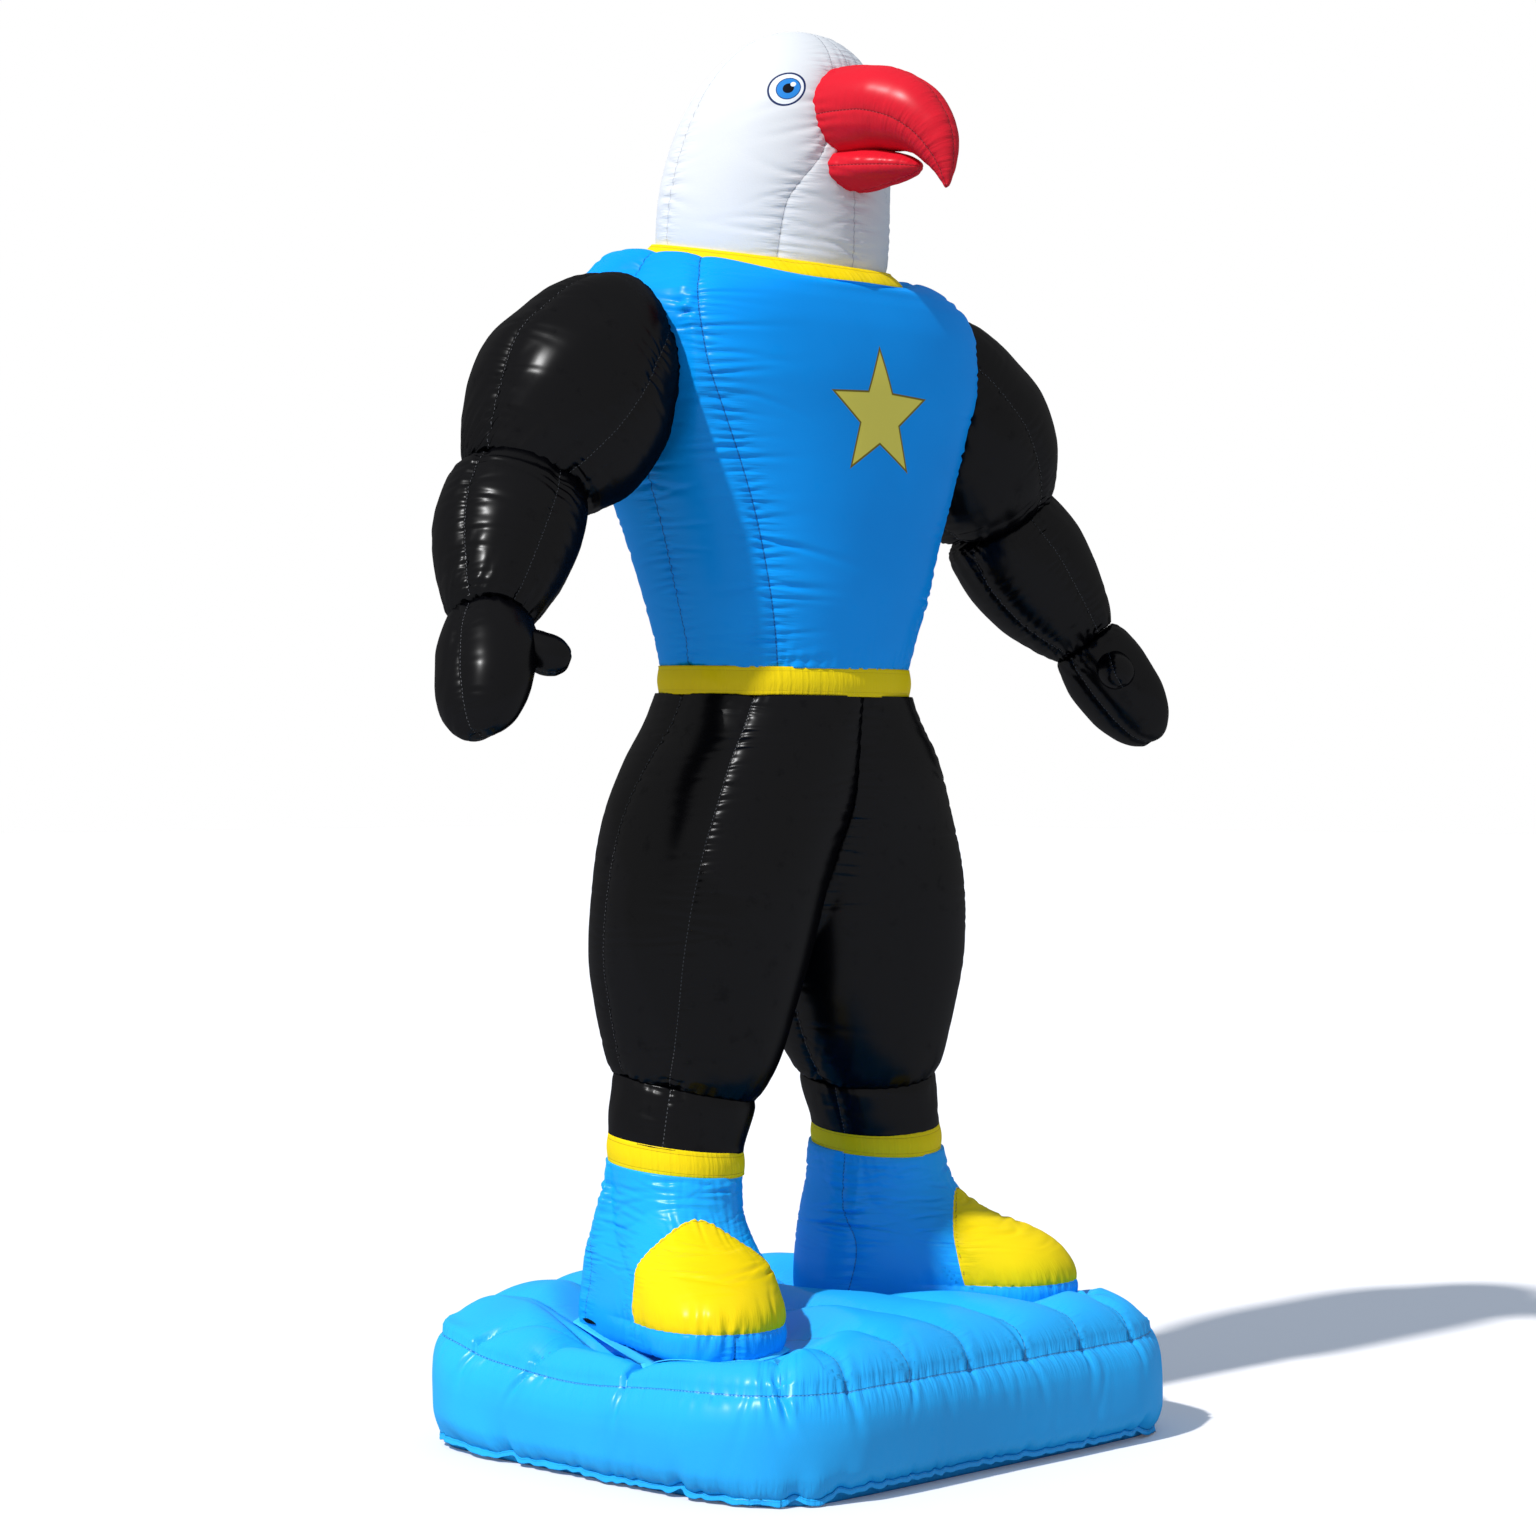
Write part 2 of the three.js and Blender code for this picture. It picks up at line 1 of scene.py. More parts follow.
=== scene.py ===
import math
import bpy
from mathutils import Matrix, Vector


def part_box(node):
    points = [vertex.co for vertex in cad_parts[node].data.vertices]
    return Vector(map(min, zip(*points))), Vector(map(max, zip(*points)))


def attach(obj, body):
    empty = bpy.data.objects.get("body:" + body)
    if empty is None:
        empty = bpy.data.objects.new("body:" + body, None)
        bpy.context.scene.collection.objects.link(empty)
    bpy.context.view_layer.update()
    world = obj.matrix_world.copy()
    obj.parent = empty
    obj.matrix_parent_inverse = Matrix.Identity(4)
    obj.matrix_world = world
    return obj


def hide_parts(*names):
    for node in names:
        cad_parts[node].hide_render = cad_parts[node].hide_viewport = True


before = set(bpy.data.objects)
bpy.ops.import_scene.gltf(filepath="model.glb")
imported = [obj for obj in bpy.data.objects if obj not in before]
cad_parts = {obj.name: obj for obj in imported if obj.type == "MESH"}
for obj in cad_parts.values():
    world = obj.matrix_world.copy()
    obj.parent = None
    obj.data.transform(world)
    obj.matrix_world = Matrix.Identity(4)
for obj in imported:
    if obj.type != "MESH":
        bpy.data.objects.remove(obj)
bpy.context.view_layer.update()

from types import SimpleNamespace

import bmesh
import bpy
import numpy as np
from mathutils import Vector
from mathutils.bvhtree import BVHTree

# An inflatable eagle figure on a mattress base, made of coated cloth. Metres, +Z up, it faces -Y.
# Each chamber is a grid of fine cloth laid over its sections. Its seams run on lines of the grid, and
# the cloth is drawn in and puckered along them. Sizes in the tables are millimetres.

MM = 0.001
FIGURE_Y = (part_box("torso")[0][1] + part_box("torso")[1][1]) / 2 - 0.0035
SOLE_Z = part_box("boot_left")[0][2]
SPLAY = math.radians(29)
SIDES = {"left": 1, "right": -1}

# ------------------------------------------------------------------ section tables, millimetres
# Stacked chambers: z, across, deep, half width, half depth, power of the outline, rise of the section
# towards the back and, where there is one more number, its rise towards the outside.
TORSO = [
    (1638, 0, -20, 297, 238, 2.0, 0.02),
    (1700, 0, -24, 312, 247, 2.1, 0.01),
    (1780, 0, -27, 338, 258, 2.2, 0.01),
    (1916, 0, -21, 372, 270, 2.4, 0.01),
    (2040, 0, -12, 412, 284, 2.6, 0.01),
    (2150, 0, -5, 449, 293, 2.8, 0.02),
    (2260, 0, 2, 479, 299, 3.0, 0.03),
    (2355, 0, 7, 482, 296, 3.0, 0.05),
    (2418, 0, 10, 467, 289, 2.9, 0.08),
    (2458, 0, 12, 431, 284, 2.7, 0.12),
    (2483, 0, 14, 385, 284, 2.4, 0.155),
    (2492, 0, 15, 330, 283, 2.1, 0.168),
    (2480, 0, 15, 284, 280, 2.0, 0.171),
]
NECK_TRIM = [
    (2478, 0, 15, 281, 284, 2.0, 0.171),
    (2490, 0, 16, 281, 283, 2.0, 0.171),
    (2504, 0, 17, 276, 272, 2.0, 0.171),
    (2521, 0, 20, 265, 250, 2.0, 0.171),
]
HEAD = [
    (2508, 0, 20, 258, 242, 2.0, 0.171),
    (2540, 0, 19, 260, 245, 2.0, 0.15),
    (2610, 0, 15, 256, 244, 2.0, 0.10),
    (2690, 0, 4, 246, 241, 2.0, 0.05),
    (2770, 0, -8, 229, 232, 2.0, 0.02),
    (2840, 0, -20, 205, 213, 2.0, 0.00),
    (2900, 0, -31, 171, 182, 2.0, 0.00),
    (2948, 0, -40, 129, 139, 2.0, 0.00),
    (2984, 0, -46, 74, 82, 2.0, 0.00),
    (3000, 0, -49, 0.5, 0.5, 2.0, 0.00),
]
BELT = [
    (1580, 0, -20, 299, 239, 2.0, 0.02),
    (1610, 0, -20, 303, 242, 2.0, 0.02),
    (1640, 0, -20, 299, 239, 2.0, 0.02),
]
LEG = [
    (758, 284, 0, 146, 146, 2.0, 0.14, 0.15),
    (770, 282, 0, 157, 157, 2.0, 0.13, 0.14),
    (790, 278, -1, 169, 169, 2.0, 0.12, 0.12),
    (835, 268, -3, 187, 187, 2.0, 0.08, 0.08),
    (927, 256, -5, 212, 212, 2.0, 0.02, 0.02),
    (1035, 244, -7, 236, 233, 2.0, 0, 0),
    (1142, 226, -9, 250, 242, 2.0, 0, 0),
    (1250, 196, -11, 260, 244, 2.1, 0, 0),
    (1357, 146, -13, 275, 244, 2.2, 0, 0),
    (1443, 112, -15, 263, 242, 2.2, 0, 0),
    (1520, 76, -17, 246, 240, 2.1, 0.01, 0),
    (1582, 40, -20, 259, 237, 2.0, 0.02, 0),
]
CUFF = [
    (594, 310, -3, 139, 146, 2.0, 0.10, 0.03),
    (621, 310, -2, 142, 147, 2.0, 0.105, 0.055),
    (648, 309, -1, 141, 142, 2.0, 0.11, 0.08),
]
ANKLE = [
    (645, 309, -1, 141, 142, 2.0, 0.11, 0.08),
    (700, 297, 0, 147, 147, 2.0, 0.125, 0.115),
    (745, 287, 0, 149, 149, 2.0, 0.138, 0.144),
    (762, 284, 0, 146, 146, 2.0, 0.14, 0.15),
]
# Chambers along a path: x, y, z, radius, thickness over width. The left one is at +X.
UPPER_ARM = [
    (400, 0, 2393, 0.5, 1), (412, 0, 2381, 82, 1), (440, 0, 2351, 133, 1), (484, 0, 2305, 168, 1),
    (540, 0, 2245, 194, 1), (594, 1, 2180, 212, 1), (645, 3, 2112, 203, 1), (696, 5, 2048, 171, 1),
    (724, 6, 2010, 140, 1), (733, 6, 1994, 122, 1),
]
FOREARM = [
    (733, 6, 1994, 122, 1), (740, 3, 1983, 135, 1), (760, -4, 1952, 146, 1), (792, -20, 1905, 150, 1),
    (838, -47, 1835, 137, 1), (880, -77, 1772, 111, 1), (908, -99, 1729, 87, 1), (916, -106, 1716, 76, 1),
]
HAND = [
    (916, -106, 1716, 76, 1), (921, -110, 1707, 86, 0.96), (935, -121, 1683, 98, 0.90),
    (960, -142, 1637, 108, 0.84), (988, -166, 1587, 105, 0.80), (1016, -188, 1538, 87, 0.78),
    (1036, -203, 1503, 55, 0.78), (1046, -211, 1483, 0.5, 0.78),
]
THUMB = [
    (937, -158, 1671, 0.5, 1), (923, -173, 1667, 28, 1), (900, -200, 1658, 40, 1),
    (878, -226, 1645, 42, 1), (858, -248, 1630, 31, 1), (847, -260, 1620, 0.5, 1),
]
# Beak: y, z of the centre, half width, half height.
BEAK_UPPER = [
    (-165, 2800, 108, 104), (-230, 2805, 105, 101), (-300, 2803, 95, 93), (-368, 2786, 80, 81),
    (-425, 2752, 60, 64), (-462, 2704, 40, 45), (-480, 2652, 21, 24), (-483, 2612, 0.5, 0.5),
]
BEAK_LOWER = [
    (-165, 2688, 88, 50), (-240, 2684, 83, 46), (-310, 2680, 67, 38), (-366, 2676, 46, 27),
    (-402, 2672, 24, 15), (-418, 2670, 0.5, 0.5),
]
# Boot: z, heel, toe, half widths behind on the inside and outside and in front, lengths of the heel's
# and the toe's round, rise of the section towards the back and the outside.
BOOT = [
    (250, -168, 432, 154, 178, 126, 126, 146, 0, 0),
    (258, -176, 442, 165, 188, 138, 138, 156, 0, 0),
    (272, -180, 448, 171, 194, 145, 146, 164, 0, 0),
    (298, -182, 451, 173, 196, 149, 150, 172, 0, 0),
    (338, -180, 443, 170, 193, 149, 152, 182, 0, 0),
    (376, -176, 418, 166, 188, 147, 152, 196, 0, 0),
    (410, -172, 366, 162, 183, 145, 152, 210, 0, 0),
    (438, -168, 294, 157, 178, 143, 152, 210, 0, 0),
    (474, -162, 224, 151, 169, 140, 150, 190, 0.02, 0.01),
    (526, -152, 175, 142, 155, 136, 146, 168, 0.06, 0.02),
    (597, -148, 152, 140, 144, 140, 148, 152, 0.10, 0.03),
]
BOOT_ANKLE = 311 * MM
TOE_CAP_BEHIND, TOE_CAP_ABOVE, TOE_CAP_LEAN = 232 * MM, 310 * MM, 0.25

# ------------------------------------------------------------------ cloth settings, metres
# depth: how far the seam lies below the puffed cloth, width: how fast it rises beside it,
# spacing: mean distance between puckers, reach: how far short and long ones run, fold: their depth.
SEWN = dict(depth=0.0085, width=0.022, spacing=0.018, reach=(0.020, 0.105), fold=0.0072)
QUIET = dict(depth=0.0045, width=0.016, spacing=0.022, reach=(0.014, 0.070), fold=0.0042)
PINCHED = dict(depth=0.0, width=0.03, spacing=0.024, reach=(0.022, 0.120), fold=0.0085)
EDGE = dict(depth=0.0025, width=0.008, spacing=0.034, reach=(0.008, 0.030), fold=0.0020)
SHOULDER = dict(depth=0.011, width=0.016, spacing=0.020, reach=(0.022, 0.100), fold=0.0080)
TOE = dict(depth=0.005, width=0.010, spacing=0.023, reach=(0.018, 0.080), fold=0.0110)
RIM_FLUTES = dict(depth=0.004, width=0.014, spacing=0.030, reach=(0.014, 0.080), fold=0.0062)
HEM_PUCKERS = dict(depth=0.004, width=0.015, spacing=0.036, reach=(0.025, 0.085), fold=0.0110)
CHANNEL_PUCKERS = dict(depth=0, width=0.02, spacing=0.050, reach=(0.02, 0.07), fold=0.0035)


# ------------------------------------------------------------------ curves and grids
def monotone(x, y, at):
    """A smooth curve through the rows (x, y) that doesn't overshoot them, read at the given places."""
    h = np.diff(x)
    slope = np.diff(y, axis=0) / h[:, None]
    grade = np.zeros_like(y)
    before, after = slope[:-1], slope[1:]
    same = before * after > 0
    w1 = (2 * h[1:] + h[:-1])[:, None]
    w2 = (h[1:] + 2 * h[:-1])[:, None]
    grade[1:-1] = np.where(
        same, (w1 + w2) / (w1 / np.where(same, before, 1) + w2 / np.where(same, after, 1)), 0)
    grade[0], grade[-1] = slope[0], slope[-1]
    k = np.clip(np.searchsorted(x, at) - 1, 0, len(h) - 1)
    t = ((at - x[k]) / h[k])[:, None]
    step = h[k][:, None]
    return ((2 * t**3 - 3 * t**2 + 1) * y[k] + (t**3 - 2 * t**2 + t) * step * grade[k]
            + (3 * t**2 - 2 * t**3) * y[k + 1] + (t**3 - t**2) * step * grade[k + 1])


def ease(t):
    t = np.clip(t, 0, 1)
    return t * t * (3 - 2 * t)


def bell(t, width):
    return np.exp(-((t / width) ** 2))


def unit(v):
    return v / np.maximum(np.linalg.norm(v, axis=-1, keepdims=True), 1e-12)


def refined(table, squared, count=500):
    """The table's rows at many places along it. Squared columns are sizes that close in round domes."""
    rows = np.array(table, float)
    rows[:, squared] **= 2
    sizes = np.sqrt(rows[:, squared])
    steps = np.hypot(np.linalg.norm(np.diff(rows[:, :3], axis=0), axis=1),
                     np.abs(np.diff(sizes, axis=0)).mean(1))
    along = np.concatenate([[0], np.cumsum(steps)])
    dense = monotone(along, rows, np.linspace(0, along[-1], count))
    dense[:, squared] = np.sqrt(np.maximum(dense[:, squared], 1e-9))
    return dense


class Tube:
    """Sections across a centre line: points of a section go round from the front (-Y) by +X."""

    def __init__(self, centre, front, side, power):
        self.centre, self.front, self.side, self.power = centre, front, side, power

    @classmethod
    def stacked(cls, table, mirror=1):
        rows = [(*row, 0)[:8] for row in table]
        z, across, deep, half, thick, power, tilt, lean = refined(rows, [3, 4]).T
        centre = np.stack([mirror * across * MM, deep * MM + FIGURE_Y, z * MM], 1)
        front = np.stack([0 * z, -thick * MM, -tilt * thick * MM], 1)
        side = np.stack([half * MM, 0 * z, mirror * lean * half * MM], 1)
        return cls(centre, front, side, power)

    @classmethod
    def along(cls, table, mirror=1):
        x, y, z, radius, flat = refined(table, [3]).T
        centre = np.stack([mirror * x * MM, y * MM + FIGURE_Y, z * MM], 1)
        ahead = unit(np.gradient(centre, axis=0))
        thick = unit(np.cross(ahead, [0.0, 1.0, 0.0]))
        wide = np.cross(thick, ahead)
        size = radius[:, None] * MM
        return cls(centre, -wide * size, -thick * size * flat[:, None], np.full(len(x), 2.0))

    @classmethod
    def beak(cls, table):
        y, z, half, tall = refined(table, [2, 3]).T
        centre = np.stack([0 * y, y * MM + FIGURE_Y, z * MM], 1)
        ahead = unit(np.gradient(centre, axis=0))
        up = unit(np.cross([1.0, 0.0, 0.0], ahead))
        up *= np.sign(up[:, 2:3])
        return cls(centre, up * tall[:, None] * MM, np.outer(half * MM, [1.0, 0, 0]), np.full(len(y), 2.0))

    def rings(self, places, count=720):
        """Points round the sections at the given places along the tube, from 0 to 1."""
        at = np.asarray(places) * (len(self.centre) - 1)
        pick = lambda column: np.stack(
            [np.interp(at, np.arange(len(column)), part) for part in column.T], 1)
        turn = np.linspace(0, 2 * np.pi, count, endpoint=False)
        power = np.interp(at, np.arange(len(self.power)), self.power)[:, None]
        c = np.sign(np.cos(turn)) * np.abs(np.cos(turn)) ** (2 / power)
        s = np.sign(np.sin(turn)) * np.abs(np.sin(turn)) ** (2 / power)
        return (pick(self.centre)[:, None] + c[..., None] * pick(self.front)[:, None]
                + s[..., None] * pick(self.side)[:, None])

    def beside(self, points):
        """How far points lie outside the tube, and how far round and along it they are."""
        centre = self.centre[::6]
        near = ((points[:, None] - centre[None]) ** 2).sum(2)
        reach = np.linalg.norm(self.front[::6], axis=1)
        nearest = (np.sqrt(near) - reach[None]).argmin(1)
        away = points - centre[nearest]
        out = np.linalg.norm(away, axis=1) - reach[nearest]
        front, side = unit(self.front[::6])[nearest], unit(self.side[::6])[nearest]
        turn = np.arctan2((away * side).sum(1), (away * front).sum(1))
        return out, turn * reach.max()


def even_places(ring_maker, step, fine=240):
    """Places along a chamber that lie one step of cloth apart, and the length of cloth up to each."""
    places = np.linspace(0, 1, fine)
    meridians = ring_maker(places, 8)
    lengths = np.linalg.norm(np.diff(meridians, axis=0), axis=2).mean(1)
    run = np.concatenate([[0], np.cumsum(lengths)])
    count = max(6, int(round(run[-1] / step)) + 1)
    want = np.linspace(0, run[-1], count)
    return np.interp(want, run, places), want


def seam_lines(seams, run):
    """Each seam is one number, its share of the way round, or pairs of (share along, share round)."""
    share = run / run[-1]
    lines = []
    for seam in seams:
        pairs = np.array([(0, seam), (1, seam)] if np.isscalar(seam) else seam, float)
        lines.append(monotone(pairs[:, 0], pairs[:, 1:], share)[:, 0])
    return np.stack(lines, 1)


def on_side(mirror, *seams):
    """Seams given for the left piece, turned over for the right one."""
    if mirror > 0:
        return list(seams)
    return [(1 - seam) % 1 if np.isscalar(seam) else [(a, 1 - b) for a, b in seam] for seam in seams]


class Cloth:
    """A grid of cloth round a chamber: rows run along it and columns round it, seams on columns."""

    def __init__(self, ring_maker, seams, row_step, column_step):
        places, self.run = even_places(ring_maker, row_step)
        rings = ring_maker(places, 720)
        lines = np.sort(seam_lines(seams, self.run), axis=1)
        closed = np.concatenate([rings, rings[:, :1]], 1)
        lengths = np.linalg.norm(np.diff(closed, axis=1), axis=2)
        round_length = np.concatenate([np.zeros((len(rings), 1)), np.cumsum(lengths, 1)], 1)
        self.girth = round_length[:, -1]
        gaps = np.diff(np.concatenate([lines, lines[:, :1] + 1], 1), axis=1)
        counts = np.maximum(3, np.round((gaps * self.girth[:, None]).max(0) / column_step)).astype(int)
        even = [np.arange(n) / n for n in counts]
        closer = [t - 0.075 * np.sin(2 * np.pi * t) for t in even]
        self.share = np.concatenate(
            [lines[:, k:k + 1] + gaps[:, k:k + 1] * t for k, t in enumerate(closer)], 1)
        want = (self.share % 1) * self.girth[:, None]
        self.points = np.stack([np.stack(
            [np.interp(want[r], round_length[r], closed[r, :, axis]) for axis in range(3)], 1)
            for r in range(len(rings))])
        self.lines = lines
        self.seam = np.full(self.share.shape, 1.0)
        self.along = np.repeat(self.run[:, None], self.share.shape[1], 1)
        self.along_stitch = self.along
        self.relief = np.zeros(self.share.shape)
        self.live = np.ones(self.share.shape)
        self.marks = {}

    def from_share(self, share):
        """Signed length of cloth from a line at a share of the way round."""
        off = (self.share - np.reshape(share, (-1, 1)) + 0.5) % 1 - 0.5
        return off * self.girth[:, None]

    @property
    def around(self):
        return self.from_share(0.0)

    def sew(self, rng, style, lines=None, strength=1.0, drawn=True):
        """Draws the cloth in along its lengthwise seams, with puckers across them."""
        for k in range(self.lines.shape[1]) if lines is None else lines:
            off = self.from_share(self.lines[:, k])
            self.relief += strength * seam_relief(rng, off, self.along, self.run[-1], style)
            if drawn:
                self.seam = np.minimum(self.seam, np.abs(off))

    def gather(self, rng, style, at, strength=1.0, side=0):
        """Puckers the cloth at a seam that runs round it, at a length of cloth from its start."""
        off = self.along - at
        if side:
            off = side * np.abs(off)
        self.relief += strength * seam_relief(rng, off, self.around, self.girth.max(), style, centred=True)

    def draw_in(self, rng, out, turn, length, style, within):
        """Draws the cloth in round a chamber that is sewn to it, at points that lie out outside it."""
        hollow = seam_relief(rng, np.maximum(out, 0.0), turn, length, style, centred=True)
        self.relief += np.where(out < within, hollow, 0).reshape(self.relief.shape)

    def stitch(self, beside, along):
        """One more line of stitches: how far each point is beside it and along it."""
        self.live *= ease((np.abs(beside - self.seam) - 0.003) / 0.012)
        self.along_stitch = np.where(beside < self.seam, along + 5, self.along_stitch)
        self.seam = np.minimum(self.seam, beside)

    def calm(self, at, reach=0.010, left=0.15):
        """Smooths the cloth beside a length of cloth from its start, where another piece joins it."""
        self.relief *= left + (1 - left) * ease(np.abs(self.along - at) / reach)

    def soften(self, rng, size, amount):
        self.relief += soft_waves(rng, self.points, size, amount)

    def raised(self):
        return self.points + outward(self.points) * self.relief[..., None]


def outward(points):
    """Normals of a closed grid, away from the middle of each row."""
    round_step = np.roll(points, -1, 1) - np.roll(points, 1, 1)
    normal = unit(np.cross(round_step, np.gradient(points, axis=0)))
    inside = points.mean(1, keepdims=True)
    return normal if ((points - inside) * normal).sum() > 0 else -normal


# ------------------------------------------------------------------ seams, puckers and unevenness
def seam_relief(rng, off, along, length, style, centred=False):
    """Relief beside a seam: off is the signed distance from it and along the way along it."""
    far = np.abs(off)
    relief = -style["depth"] * np.exp(-far / style["width"])
    spacing = style["spacing"]
    low, high = style["reach"]
    place = (-length / 2 if centred else 0) - spacing
    end = length / 2 if centred else length
    while place < end + spacing:
        place += spacing * rng.uniform(0.6, 1.45)
        breadth = spacing * rng.uniform(0.17, 0.30)
        shared = rng.uniform(0.45, 1.15)
        for beside in (off >= 0, off < 0):
            reach = low + (high - low) * rng.random() ** 2.1
            fold = style["fold"] * shared * rng.uniform(0.6, 1.1)
            slant = rng.normal(0, 0.10)
            bend = rng.normal(0, 0.7)
            near = beside & (far < 3.2 * reach)
            near &= np.abs(along - place) < 5 * breadth + 0.6 * reach
            d = far[near]
            x = (along[near] - place - slant * d - bend * d * d) / (breadth * (1 + 0.8 * d / reach))
            crease = np.exp(-x * x) - 0.42 * bell(x, 2.3)
            relief[near] -= fold * np.exp(-((d / reach) ** 1.35)) * crease
    return relief


def loose_folds(rng, across, along, count, size, fold, slant=0.25):
    """Short folds that run across, at random places; size is the range of their half lengths."""
    relief = np.zeros(across.shape)
    spots = rng.choice(across.size, count)
    for spot in spots:
        dx = across - across.flat[spot]
        half = rng.uniform(*size)
        near = np.abs(dx) < 2.4 * half
        lean, bend, breadth = rng.normal(0, slant), rng.normal(0, 2.5), rng.uniform(0.0035, 0.0065)
        dx = dx[near]
        x = (along[near] - along.flat[spot] - lean * dx - bend * dx * dx) / breadth
        crease = np.exp(-x * x) - 0.42 * bell(x, 2.3)
        relief[near] -= fold * rng.uniform(0.4, 1.1) * bell(dx, half) * crease
    return relief


def soft_waves(rng, points, size, amount):
    """Broad gentle unevenness: a sum of plane waves in several directions."""
    total = np.zeros(points.shape[:-1])
    for _ in range(7):
        direction = unit(rng.normal(size=3))
        wave = size * rng.uniform(0.6, 1.7)
        total += np.sin(points @ direction * 2 * np.pi / wave + rng.uniform(0, 2 * np.pi))
    return amount * total / math.sqrt(7)


# ------------------------------------------------------------------ meshes
# A place far off any print, for the cloth that carries none.
NO_PRINT = 9.0


def quads(rows, columns, wrap_rows=False):
    j = np.arange(rows if wrap_rows else rows - 1)[:, None]
    i = np.arange(columns)[None]
    up, on = (j + 1) % rows, (i + 1) % columns
    loop = [j * columns + i, j * columns + on, up * columns + on, up * columns + i]
    return np.stack(loop, -1).reshape(-1, 4)


def face_outward(points, faces):
    """Turns all faces round if they enclose a negative volume."""
    a, b, c = (points[faces[:, k]] for k in range(3))
    flux = (a * np.cross(b, c)).sum()
    if faces.shape[1] == 4:
        flux += (a * np.cross(c, points[faces[:, 3]])).sum()
    return faces if flux > 0 else faces[:, ::-1]


def new_mesh(name, points, face_lists, marks):
    mesh = bpy.data.meshes.new(name)
    mesh.from_pydata(points.tolist(), [], [f for faces in face_lists for f in faces.tolist()])
    for mark, values in marks.items():
        vector = values.ndim == 2
        layer = mesh.attributes.new(mark, "FLOAT_VECTOR" if vector else "FLOAT", "POINT")
        layer.data.foreach_set("vector" if vector else "value", values.astype(np.float32).ravel())
    mesh.polygons.foreach_set("use_smooth", [True] * len(mesh.polygons))
    mesh.update()
    return mesh


def place_piece(name, mesh, material, nodes):
    """Puts a mesh in the scene, in place of its nodes."""
    piece = bpy.data.objects.new(name, mesh)
    bpy.context.scene.collection.objects.link(piece)
    mesh.materials.append(material)
    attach(piece, "root")
    if nodes:
        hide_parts(*nodes)


def place_cloth(node, cloth, material, clamp=None):
    """Makes the cloth's mesh and puts it in the place of the node it is named after."""
    name = node + "_cloth"
    place_piece(name, cloth_mesh(name, cloth, clamp), material, [node])


def cloth_mesh(name, cloth, clamp=None):
    """The raised cloth as a closed mesh, each end closed by a fan."""
    points = cloth.raised()
    if clamp:
        points = clamp(points)
    rows, columns = points.shape[:2]
    flat = points.reshape(-1, 3)
    ends = np.stack([points[0].mean(0), points[-1].mean(0)])
    i = np.arange(columns)
    on = (i + 1) % columns
    first, last = rows * columns, rows * columns + 1
    sides = face_outward(flat, quads(rows, columns))
    top = (rows - 1) * columns
    forward = sides[0, 1] == 1
    fans = [np.stack([np.full(columns, first), on, i], 1),
            np.stack([np.full(columns, last), top + i, top + on], 1)]
    if not forward:
        fans = [fan[:, ::-1] for fan in fans]
    pad = lambda grid, value: np.concatenate([grid.reshape(-1), [value, value]])
    marks = {"seam": pad(cloth.seam, 1.0), "run": pad(cloth.along_stitch, 0.0),
             "live": pad(cloth.live, 0.0)}
    for mark, values in cloth.marks.items():
        marks[mark] = np.concatenate([values.reshape(-1, 3), np.full((2, 3), NO_PRINT)])
    return new_mesh(name, np.concatenate([flat, ends]), [sides, *fans], marks)


def length_round(loop):
    """The length of a closed line up to each of its points, and in all."""
    steps = np.linalg.norm(np.diff(np.concatenate([loop, loop[:1]]), axis=0), axis=1)
    return np.concatenate([[0], np.cumsum(steps)[:-1]]), steps.sum()


def ring_strip(name, inner, outer, thickness, marks_at=0.5):
    """A thin closed strip between two closed lines of points, such as a seam's flange.

    marks_at is the place of its stitches, from its inner edge at 0 to its outer edge at 1.
    """
    count = len(inner)
    up = np.zeros_like(inner)
    up[:, 2] = thickness / 2
    shares = (0.0, 0.35, 0.7, 1.0)
    mids = [inner * (1 - s) + outer * s for s in shares]
    loop = [m + up for m in mids] + [m - up for m in reversed(mids)]
    points = np.stack(loop, 1)
    flat = points.reshape(-1, 3)
    faces = face_outward(flat, quads(count, points.shape[1], wrap_rows=True))
    width = np.linalg.norm(outer - inner, axis=1)
    run = length_round(outer)[0]
    share = np.array(shares + shares[::-1])
    seam = np.abs(share[None] - marks_at) * width[:, None]
    marks = {"seam": seam.reshape(-1), "run": np.repeat(run, len(share)), "live": np.ones(seam.size)}
    return new_mesh(name, flat, [faces], marks)


